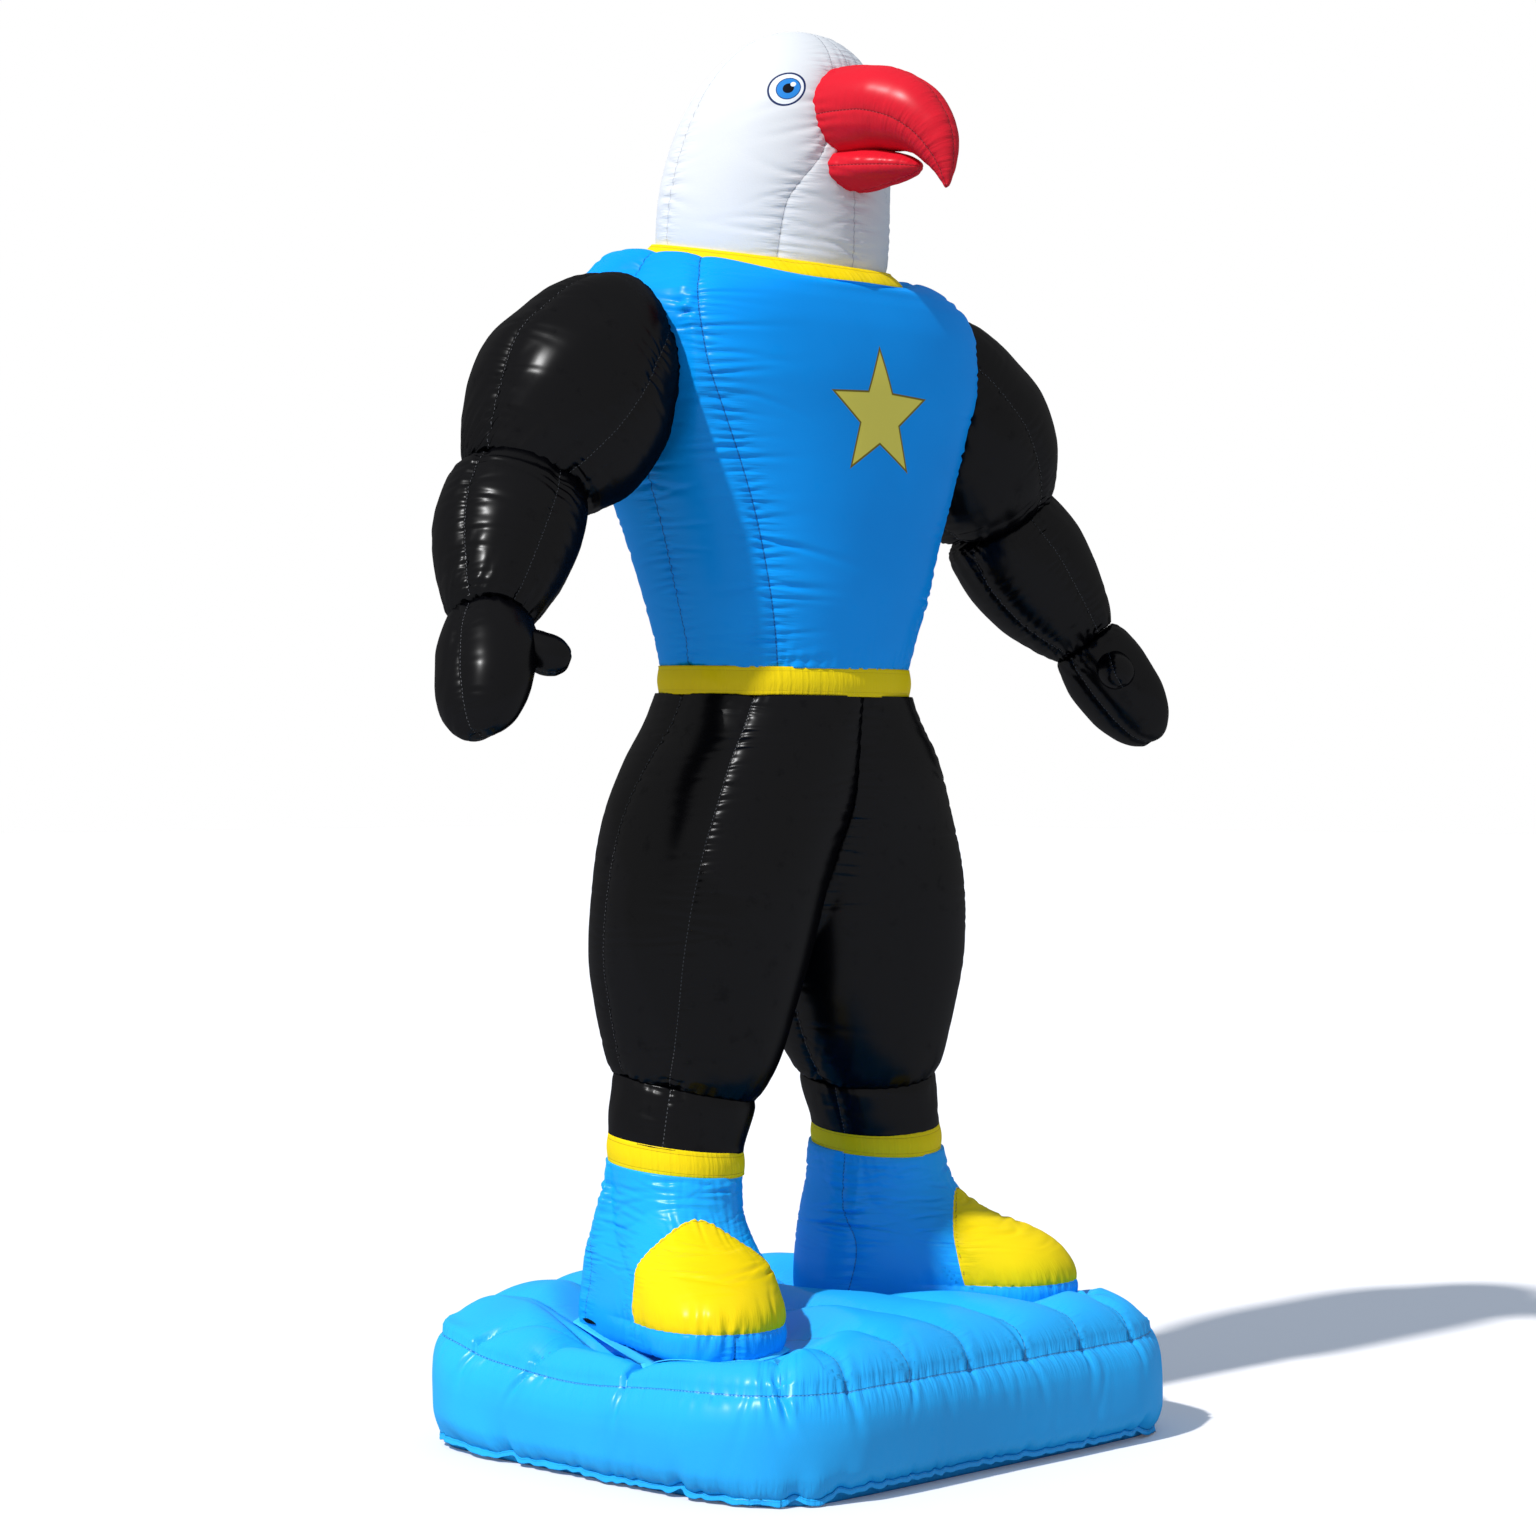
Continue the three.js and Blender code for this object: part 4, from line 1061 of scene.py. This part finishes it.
def split_toe_cap(mesh, mirror):
    """Cuts the toe cap out of the boot's cloth along its two edges, and gives it back as its own mesh."""
    forward = Vector((mirror * math.sin(SPLAY), -math.cos(SPLAY), 0))
    ankle = Vector((mirror * BOOT_ANKLE, FIGURE_Y, 0))
    rear = ankle + forward * TOE_CAP_BEHIND + Vector((0, 0, TOE_CAP_ABOVE))
    lean = (forward + Vector((0, 0, TOE_CAP_LEAN))).normalized()
    shape = bmesh.new()
    shape.from_mesh(mesh)
    for origin, normal in ((rear, lean), (rear, Vector((0, 0, 1)))):
        bmesh.ops.bisect_plane(shape, geom=shape.verts[:] + shape.edges[:] + shape.faces[:], dist=1e-5,
                               plane_co=origin, plane_no=normal)

    def on_cap(face):
        middle = face.calc_center_median()
        return (middle - rear).dot(lean) > 0 and middle.z > TOE_CAP_ABOVE

    cap_shape = shape.copy()
    for part, wrong in ((shape, [f for f in shape.faces if on_cap(f)]),
                        (cap_shape, [f for f in cap_shape.faces if not on_cap(f)])):
        bmesh.ops.delete(part, geom=wrong, context="FACES")
    cap = bpy.data.meshes.new(mesh.name.replace("boot", "toe_cap"))
    shape.to_mesh(mesh)
    cap_shape.to_mesh(cap)
    shape.free()
    cap_shape.free()
    for part in (mesh, cap):
        part.polygons.foreach_set("use_smooth", [True] * len(part.polygons))
    return cap


# ------------------------------------------------------------------ base mattress
HALF_X, HALF_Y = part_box("base")[1][0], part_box("base")[1][1]
CORNER = 270 * MM
PANEL_SEAM_Z, PANEL_INSET = 217 * MM, 28 * MM
CROWN, FULLNESS = 102 * MM, 11
CHANNEL_PITCH, CHANNEL_DEPTH = 180 * MM, 25 * MM
# Tucks at the sides: their place on the rim and how they turn and bend to the front on the way in.
TUCKS = ((-0.133, 0.0, -3.5), (0.143, -0.1, -5.5), (0.325, -0.3, -8.0))
TUCK_DEPTH, TUCK_REACH = 32 * MM, 32 * MM
DIP_REACH, SUNK = 150 * MM, 5 * MM
# The wall below the panel's seam: height and how far it is drawn in.
WALL = [
    (217, 28), (205, 19), (188, 10), (160, 2.5), (125, 0), (92, 0.5),
    (60, 2), (40, 8), (25, 17), (13, 31), (0, 54),
]
PANEL_X, PANEL_Y = HALF_X - PANEL_INSET, HALF_Y - PANEL_INSET
# The size of a cell of the cloth, and the height of the hem's stitches.
CELL = 0.0064
HEM_Z = 0.018
# Knots of the hem, on the rim of the unit square.
KNOTS = ((-1, 0.36), (-1, -0.52), (-0.93, -0.93), (-0.74, -1), (0.72, -1), (1, -0.4), (1, 0.5), (0.3, 1))


def in_outline(s, t, inset):
    """Lays points of the unit square into the rounded outline of the base, drawn in by inset."""
    rim = np.maximum(np.maximum(np.abs(s), np.abs(t)), 1e-9)
    at_corner = ease((np.minimum(np.abs(s), np.abs(t)) - 0.6) / 0.3)
    drawn = inset * (1 - 0.5 * at_corner)
    half_x, half_y = HALF_X - drawn, HALF_Y - drawn
    x, y = s * half_x, t * half_y
    dx, dy = np.abs(x) / rim, np.abs(y) / rim
    cx, cy = half_x - CORNER, half_y - CORNER
    along = dx * cx + dy * cy
    square = dx * dx + dy * dy
    inside = np.maximum(along * along - square * (cx * cx + cy * cy - CORNER**2), 0)
    reach = np.where((dx > cx) & (dy > cy), (along + np.sqrt(inside)) / square, 1.0)
    pull = 1 - (1 - reach) * rim**3
    return x * pull, y * pull, np.where(rim < 1e-8, 0, rim)


def beside_channel(flat_x):
    """Distance from the nearest sewn line of the channels."""
    return np.abs((flat_x / CHANNEL_PITCH) % 1 - 0.5) * CHANNEL_PITCH


def panel_height(x, y, flat_x, flat_y, rim):
    """Height of the channelled top panel; flat_x and flat_y are the places before the corners draw in."""
    off = beside_channel(flat_x) + 0.3 * ease((np.abs(flat_x) - 0.50) / 0.04)
    full = 1 - rim**FULLNESS
    channel = np.clip(1 - 2 * off / CHANNEL_PITCH, 0, 1) ** 2.4 * np.clip(0.12 + (1 - rim) * 4, 0, 1)
    crest = PANEL_SEAM_Z + CROWN * full**0.68 - CHANNEL_DEPTH * channel
    reach = DIP_REACH * (1 - 0.55 * ease((x - 0.30) / 0.15))
    pressed = (1 - ease((beside_boot(x, y) - BOOT[0][3] * MM) / reach)) * ease((1 - rim) / 0.13)
    z = crest + (SOLE_Z + SUNK - crest) * pressed
    return z - TUCK_DEPTH * ease((1 - rim) / 0.04) * np.exp(-beside_tuck(flat_x, flat_y) / TUCK_REACH)


def beside_tuck(flat_x, flat_y):
    """Distance from the nearest tuck: those of the sides, and one to each front corner."""
    inward = HALF_X - PANEL_INSET - np.abs(flat_x)
    from_front = HALF_Y - PANEL_INSET + flat_y
    ended = 0.5 * ease((inward - 0.15) / 0.07)
    lines = [np.abs(flat_y - place - (turn + bend * inward) * inward)
             / np.hypot(1, turn + 2 * bend * inward) + ended for place, turn, bend in TUCKS]
    corner = np.abs(0.72 * inward - 0.69 * from_front)
    lines.append(corner + 0.5 * ease((0.69 * inward + 0.72 * from_front - 0.20) / 0.07))
    return np.min(lines, axis=0)


def settle(points):
    """How the cushion sags beside the right boot, and swells behind it and lifts at the corner there."""
    x, y, z = points.T
    swell = 0.017 * bell(x + 0.22, 0.24) * ease((y - 0.15) / 0.30) * ease((z - 0.20) / 0.07)
    sag = 0.026 * ease((-x - 0.42) / 0.16) * bell(y - 0.02, 0.25) * ease((z - 0.06) / 0.14)
    corner = ease((-x - 0.42) / 0.15) * ease((y - 0.24) / 0.20) * ease(z / 0.03)
    return swell - sag + 0.017 * corner * (1 - 1.7 * ease((z - 0.235) / 0.05))


def beside_boot(x, y):
    """Distance in plan from the middle line of the nearer boot."""
    sole = BOOT[0]
    start, end = (sole[1] + sole[6]) * MM, (sole[2] - sole[7]) * MM
    forward = np.array([math.sin(SPLAY), -math.cos(SPLAY)])
    px, py = np.abs(x) - BOOT_ANKLE, y - FIGURE_Y
    ahead = np.clip(px * forward[0] + py * forward[1], start, end)
    return np.hypot(px - ahead * forward[0], py - ahead * forward[1])


def vertex_normals(points, faces):
    a, b, c, d = (points[faces[:, k]] for k in range(4))
    face = np.cross(c - a, d - b)
    total = np.zeros_like(points)
    for k in range(4):
        np.add.at(total, faces[:, k], face)
    return unit(total)


def base_surface():
    """The panel as a grid and the wall as rings below its rim, before they are puckered."""
    columns = CHANNEL_PITCH / 2 / round(CHANNEL_PITCH / 2 / CELL)
    side = int((PANEL_X - 0.003) / columns)
    s = np.concatenate([[-1], np.arange(-side, side + 1) * columns / PANEL_X, [1]])
    t = np.linspace(-1, 1, int(2 * HALF_Y / CELL) // 2 * 2 + 1)
    nx, ny = len(s), len(t)
    ss, tt = np.meshgrid(s, t)
    x, y, rim = in_outline(ss, tt, PANEL_INSET)
    flat_x, flat_y = ss * PANEL_X, tt * PANEL_Y
    top = np.stack([x, y, panel_height(x, y, flat_x, flat_y, rim)], -1).reshape(-1, 3)
    j, i = np.meshgrid(np.arange(ny - 1), np.arange(nx - 1), indexing="ij")
    corner = (j * nx + i).ravel()
    faces = [np.stack([corner, corner + 1, corner + nx + 1, corner + nx], 1)]
    rim_s = np.concatenate([s[:-1], np.ones(ny - 1), s[:0:-1], -np.ones(ny - 1)])
    rim_t = np.concatenate([-np.ones(nx - 1), t[:-1], np.ones(nx - 1), t[:0:-1]])
    rim_index = np.concatenate([np.arange(nx - 1), np.arange(ny - 1) * nx + nx - 1,
                                (ny - 1) * nx + np.arange(nx - 1, 0, -1), np.arange(ny - 1, 0, -1) * nx])
    wall = np.array(WALL, float)
    down = np.concatenate([[0], np.cumsum(np.linalg.norm(np.diff(wall, axis=0), axis=1))])
    places = np.linspace(0, down[-1], int(down[-1] * MM / CELL) + 1)[1:]
    rings = []
    above = rim_index
    for number, (height, inset) in enumerate(monotone(down, wall, places) * MM):
        wx, wy, _ = in_outline(rim_s, rim_t, inset)
        rings.append(np.stack([wx, wy, np.full_like(wx, height)], -1))
        here = len(top) + number * len(rim_s) + np.arange(len(rim_s))
        faces.append(np.stack([here, np.roll(here, -1), np.roll(above, -1), above], 1))
        above = here

    # The way round the seam, from the rear left corner, and the distance from it, less than nought below.
    edge_run, perimeter = length_round(top[rim_index])
    edge_angle = np.unwrap(np.arctan2(rim_t, rim_s))
    point_angle = np.arctan2(tt.reshape(-1), ss.reshape(-1))
    point_angle = (point_angle - edge_angle[0]) % (2 * np.pi) + edge_angle[0]
    top_run = np.interp(point_angle, np.append(edge_angle, edge_angle[0] + 2 * np.pi),
                        np.append(edge_run, perimeter))
    start = edge_run[nx + ny - 2]
    run = (np.concatenate([top_run, *[edge_run] * len(rings)]) - start) % perimeter
    whole = np.maximum(rim.reshape(-1), 1e-6)
    ex, ey, _ = in_outline(ss.reshape(-1) / whole, tt.reshape(-1) / whole, PANEL_INSET)
    off = np.hypot(np.hypot(ex - top[:, 0], ey - top[:, 1]), np.maximum(top[:, 2] - PANEL_SEAM_Z, 0) * 0.8)
    off = np.concatenate([off, *[np.full(len(rim_s), -max(d, 1e-4)) for d in places * MM]])
    to_foot = (down[-1] - places) * MM
    bottom = np.concatenate([np.full(len(top), 1.0), *[np.full(len(rim_s), d) for d in to_foot]])
    level = int(np.argmin(np.abs(monotone(down, wall, places)[:, 0] * MM - HEM_Z)))
    hem = len(top) + level * len(rim_s)
    return SimpleNamespace(
        points=np.concatenate([top, *rings]), faces=np.concatenate(faces), last_ring=above,
        panel=np.arange(len(top) + len(rings) * len(rim_s)) < len(top),
        y=y, rim=rim, flat_x=flat_x, flat_y=flat_y, run=run, off=off, bottom=bottom, perimeter=perimeter,
        rim_s=rim_s, rim_t=rim_t, edge_run=edge_run, edge_angle=edge_angle, start=start,
        wall_s=np.tile(rim_s, len(rings)), wall_t=np.tile(rim_t, len(rings)),
        hem=slice(hem, hem + len(rim_s)), hem_low=to_foot[level])


def base_relief(rng, base):
    """Flutes, tucks and puckers of the base, as lengths along its normals."""
    panel, wall = base.panel, ~base.panel
    off, run, perimeter, bottom = base.off, base.run, base.perimeter, base.bottom

    def beside_place(points_run, place):
        return (points_run - place + perimeter / 2) % perimeter - perimeter / 2

    relief = seam_relief(rng, off, run, perimeter, RIM_FLUTES) * np.where(off > 0, 0.5, 1.0)
    # Deep tucks where the channels' sewn lines meet the panel's seam, above and below it.
    for sx, sy, strength in channel_ends():
        turn = (np.arctan2(sy, sx) - base.edge_angle[0]) % (2 * np.pi)
        place = np.interp(turn, base.edge_angle - base.edge_angle[0], base.edge_run) - base.start
        beside = beside_place(run, place) + rng.normal(0, 0.22) * off
        reach = rng.uniform(0.040, 0.075)
        breadth = rng.uniform(0.0055, 0.0080) * (1 + np.abs(off) / 0.14)
        fade = strength * bell(off, reach)
        relief -= 0.0125 * bell(beside, breadth) * fade
        relief += 0.0045 * bell(np.abs(beside) - 2.0 * breadth, breadth) * fade
    # Puckers up the wall from the hem.
    puckers = seam_relief(rng, bottom[wall], run[wall], perimeter, HEM_PUCKERS)
    relief[wall] += puckers * ease(bottom[wall] / 0.02)
    # Puckers across the channels' sewn lines.
    for place in np.arange(-2.5, 3) * CHANNEL_PITCH:
        if abs(place) < PANEL_X:
            near = seam_relief(rng, (base.flat_x - place).ravel(), base.y.ravel(), 1.0, CHANNEL_PUCKERS,
                               centred=True)
            relief[panel] += near * ease((off[panel] - 0.02) / 0.05)
    relief += soft_waves(rng, base.points, 0.30, 0.0028)
    # The hem is gathered into knots here and there.
    for a, b in KNOTS:
        place = base.edge_run[np.argmin(np.hypot(base.rim_s - a, base.rim_t - b))] - base.start
        beside = np.abs(beside_place(run[wall], place))
        near = bell(beside, 0.009 + 0.25 * bottom[wall])
        relief[wall] -= 0.016 * near * bell(bottom[wall], 0.075)
    relief[bottom < 0.012] *= 0.2
    return relief


def hem_lift(base):
    """How far the foot of the wall stands off the floor between the corners."""
    low = base.bottom[~base.panel]
    across, along = np.abs(base.wall_s), np.abs(base.wall_t)
    at_corner = ease((np.minimum(across, along) - 0.62) / 0.2)
    share = np.where(across > along, 0.25, 1.0)
    lift = np.zeros(len(base.points))
    lift[~base.panel] = 0.013 * share * (1 - at_corner) * ease(low / 0.02) * ease((0.12 - low) / 0.10)
    return lift


def base_stitches(base):
    """Marks: distance from stitches or a painted crease line, the way along them, how lively it is."""
    panel, wall = base.panel, ~base.panel
    seam, run, live = np.abs(base.off), base.run.copy(), np.ones(len(base.points))
    channel = (beside_channel(base.flat_x) + (np.abs(base.flat_x) > 0.5)).ravel()
    # The tucks are folds, not seams: the dark line drawn along them is painted shade in each crease.
    tuck = beside_tuck(base.flat_x, base.flat_y).ravel() + (base.rim.ravel() > 0.97)
    live[panel] = ease((np.abs(channel - seam[panel]) - 0.004) / 0.015)
    run[panel] = np.where(channel < seam[panel], base.y.ravel() + 9, run[panel])
    # The tucks' creases get the same dark line as the seams: painted shade along each crease.
    seam[panel] = np.minimum(np.minimum(seam[panel], channel), tuck)
    beside_hem = np.abs(base.bottom[wall] - base.hem_low)
    live[wall] *= ease((np.abs(seam[wall] - beside_hem) - 0.004) / 0.015)
    seam[wall] = np.minimum(seam[wall], beside_hem)
    return {"seam": np.append(seam, 1.0), "run": np.append(run, 0.0), "live": np.append(live, 0.0)}


def make_base():
    """The mattress, with its hem strip. Gives back its surface, for what lies on it."""
    rng = np.random.default_rng(7)
    base = base_surface()
    relief = base_relief(rng, base)
    raised = base.points + vertex_normals(base.points, base.faces) * relief[:, None]
    raised[:, 2] += hem_lift(base) + settle(base.points)
    floor = base.points[:, 2] <= 1e-6
    raised[floor] = base.points[floor]
    raised[:, 2] = np.maximum(raised[:, 2], 0)
    ring = base.last_ring
    fan = np.stack([np.full(len(ring), len(raised)), np.roll(ring, -1), ring], 1)
    mesh = new_mesh("base_cloth", np.concatenate([raised, [[0, 0, 0]]]), [base.faces, fan],
                    base_stitches(base))
    place_piece("base_cloth", mesh, BASE_BLUE, ["base"])
    make_base_flange(rng, raised[base.hem])
    return BVHTree.FromPolygons(raised.tolist(), base.faces.tolist())


def channel_ends():
    """Where channel lines and tucks meet the panel's seam in the unit square, and how deep they cut it."""
    for number in np.arange(-3.5, 4):
        place = number * CHANNEL_PITCH / PANEL_X
        if abs(place) < 1:
            yield from ((place, -1, 0.42), (place, 1, 0.42))
    for place, _, _ in TUCKS:
        yield from ((side, place / PANEL_Y, 1.0) for side in (-1, 1))
    yield from ((-1, -0.999, 1.1), (-0.999, -0.93, 0.6), (0.999, -1, 1.0))


def make_base_flange(rng, hem):
    """The seam allowance that hangs, wavy, from the hem under the wall."""
    run, perimeter = length_round(hem)
    wave = np.zeros_like(run)
    for _ in range(9):
        turns = rng.integers(8, 60)
        size = rng.uniform(0.3, 1) / 4
        wave += size * np.sin(2 * np.pi * turns * run / perimeter + rng.uniform(0, 6.3))
    along = np.roll(hem, -3, 0) - np.roll(hem, 3, 0)
    out = unit(np.cross(along, [0, 0, 1.0]))
    out *= np.sign((hem * out).sum())
    inner = hem + out * 0.0015
    # It is calmer along the front and the back.
    calmer = 0.35 + 0.65 * ease((np.abs(hem[:, 0]) - 0.40) / 0.08)
    wave *= np.where(np.abs(hem[:, 1]) > HALF_Y - 0.07, calmer, 1.0)
    outer = inner + out * (0.0016 + 0.0022 * wave)[:, None]
    outer[:, 2] = np.maximum(inner[:, 2] - 0.0115 - 0.0020 * wave, 0.0016)
    mesh = ring_strip("base_flange", inner, outer, 0.0018, marks_at=0.25)
    place_piece("base_flange", mesh, BASE_BLUE, [])


def make_boot_flange(side, mirror, ground):
    """The stitched strip that joins a boot to the top panel, lying on the panel."""
    rng = np.random.default_rng(130 + mirror)
    sole = boot_rings(mirror)(np.array([0.0]), 360)[0]
    tangent = np.roll(sole, -1, 0) - np.roll(sole, 1, 0)
    out = unit(np.cross(tangent, [0, 0, 1.0]))
    if ((sole - sole.mean(0)) * out).sum() < 0:
        out = -out
    turn = np.linspace(0, 2 * np.pi * 11, 360, endpoint=False)
    width = 0.024 + 0.003 * np.sin(turn + rng.uniform(0, 6))

    def laid(points):
        held = points.copy()
        for row in held:
            hit = ground.ray_cast(Vector((row[0], row[1], 1.0)), Vector((0, 0, -1)))[0]
            row[2] = (hit.z if hit else SOLE_Z) + 0.0016
        return held

    inner, outer = laid(sole - out * 0.004), laid(sole + out * width[:, None])
    inner[:, 2] += 0.010
    outer[:, 2] += 0.002
    mesh = ring_strip(f"boot_flange_{side}", inner, outer, 0.0022)
    place_piece(f"boot_flange_{side}", mesh, STRIP_BLUE, [])


# The black strip of painted shade: its height and its ends along the boot.
GAP_SHADE_Z = 0.282
GAP_SHADE_BACK, GAP_SHADE_FRONT = -0.030, 0.055


def make_gap_shade(cloth, mirror):
    """A short black strip on the outer side of a boot's foot: painted shade of a dark gap there."""
    points = cloth.raised()
    row = int(np.argmin(np.abs(points[:, 0, 2] - GAP_SHADE_Z)))
    ahead = boot_length(points[row], mirror)
    outer = mirror * points[row, :, 0] - BOOT_ANKLE > 0
    held = np.flatnonzero(outer & (ahead > GAP_SHADE_BACK) & (ahead < GAP_SHADE_FRONT))
    share = np.linspace(0, 1, len(held))
    out = outward(points)[row, held]
    bow = 0.0042 * np.sin(np.pi * share)[:, None]
    middle = points[row, held]
    up = unit(points[row + 1, held] - points[row - 1, held])
    above, below = middle + up * bow, middle - up * bow
    flat = np.stack([above, above + out * 0.003, below + out * 0.003, below], 1).reshape(-1, 3)
    faces = face_outward(flat, quads(len(held), 4))
    marks = {"seam": np.full(len(flat), 1.0), "run": np.zeros(len(flat)), "live": np.zeros(len(flat))}
    ends = [np.array([[0, 1, 2, 3]]), np.array([[3, 2, 1, 0]]) + 4 * (len(held) - 1)]
    mesh = new_mesh("heel_gap_shade", flat, [faces, *ends], marks)
    place_piece("heel_gap_shade", mesh, BLACK, [])


# ------------------------------------------------------------------ floor, light and camera
# The camera stands a little to the right of the figure, level, at standing eye height.
EYE_HEIGHT, STAND_OFF, STEP_LEFT = 1.426, 7.71, 0.0215
VIEW_TURN = math.radians(46)
VIEW_AHEAD = Vector((math.sin(VIEW_TURN), math.cos(VIEW_TURN), 0))
VIEW_RIGHT = Vector((math.cos(VIEW_TURN), -math.sin(VIEW_TURN), 0))
KEY_DIRECTION = VIEW_AHEAD * 0.507 + VIEW_RIGHT * 0.474 + Vector((0, 0, -0.72))
KEY_STRENGTH, KEY_SPREAD = 3.5, math.radians(2.2)
SKY_COLOUR, SKY_STRENGTH = (0.60, 0.76, 1.0, 1), 0.46
FLOOR_HALF = 60.0


def seen_directly(words):
    """1 for rays from the camera and for those that metal and glass show, otherwise 0."""
    path = words.add("ShaderNodeLightPath").outputs
    mirrored = words.math("MAXIMUM", path["Is Glossy Ray"], path["Is Transmission Ray"])
    return words.math("MAXIMUM", path["Is Camera Ray"], mirrored)


def make_floor():
    mesh = bpy.data.meshes.new("floor")
    corners = [(x * FLOOR_HALF, y * FLOOR_HALF, 0) for x, y in ((-1, -1), (1, -1), (1, 1), (-1, 1))]
    mesh.from_pydata(corners, [], [(0, 1, 2, 3)])
    floor = bpy.data.objects.new("floor", mesh)
    bpy.context.scene.collection.objects.link(floor)
    material = bpy.data.materials.new("Pale floor")
    material.use_nodes = True
    shader = material.node_tree.nodes["Principled BSDF"]
    shader.inputs["Roughness"].default_value = 0.9
    shader.inputs["Specular IOR Level"].default_value = 0.1
    shader.inputs["Emission Color"].default_value = (1, 1, 1, 1)
    words = Nodes(material.node_tree)
    seen = seen_directly(words)
    words.feed(shader.inputs["Emission Strength"], words.times(seen, 0.06))
    words.feed(shader.inputs["Base Color"], words.mix(seen, (0.47, 0.47, 0.47, 1), (0.94, 0.90, 0.88, 1)))
    mesh.materials.append(material)


def make_light():
    """A soft pale blue sky, seen as white, and one lamp like the sun from behind the camera's left."""
    world = bpy.data.worlds.new("Soft studio")
    bpy.context.scene.world = world
    world.use_nodes = True
    words = Nodes(world.node_tree)
    for node in list(world.node_tree.nodes):
        world.node_tree.nodes.remove(node)
    soft = words.add("ShaderNodeBackground", {"Color": SKY_COLOUR, "Strength": SKY_STRENGTH})
    white = words.add("ShaderNodeBackground", {"Color": (1, 1, 1, 1), "Strength": 1.0})
    blend = words.add("ShaderNodeMixShader", {0: seen_directly(words), 1: soft.outputs[0],
                                              2: white.outputs[0]})
    words.feed(words.add("ShaderNodeOutputWorld").inputs["Surface"], blend.outputs[0])
    lamp = bpy.data.lights.new("key", "SUN")
    lamp.energy = KEY_STRENGTH
    lamp.angle = KEY_SPREAD
    holder = bpy.data.objects.new("key", lamp)
    holder.rotation_euler = KEY_DIRECTION.to_track_quat("-Z", "Y").to_euler()
    bpy.context.scene.collection.objects.link(holder)


def make_camera():
    lens = bpy.data.cameras.new("camera")
    lens.sensor_width = 36
    lens.lens = 84.07
    lens.clip_end = 300
    camera = bpy.data.objects.new("camera", lens)
    below = Vector((0, FIGURE_Y, EYE_HEIGHT))
    camera.location = below - VIEW_AHEAD * STAND_OFF - VIEW_RIGHT * STEP_LEFT
    camera.rotation_euler = (math.radians(90), 0, -VIEW_TURN)
    bpy.context.scene.collection.objects.link(camera)
    bpy.context.scene.camera = camera


# ------------------------------------------------------------------ assembly
make_camera()
make_floor()
make_light()
ground = make_base()
make_torso()
make_band("neck_trim", NECK_TRIM, 21, drawn_behind=0.010)
make_band("belt", BELT, 22, seams=(0.16, 0.84))
make_head()
make_beak()
for side, mirror in SIDES.items():
    make_arm(side, mirror)
    make_leg(side, mirror)
    make_ankle(side, mirror)
    make_band(f"cuff_{side}", CUFF, 110 + mirror, mirror)
    boot = make_boot(side, mirror)
    make_boot_flange(side, mirror, ground)
    # The right boot gets a black strip of painted shade of a dark gap by its foot.
    if side == "right":
        make_gap_shade(boot, mirror)
bpy.context.scene.view_settings.view_transform = "Standard"
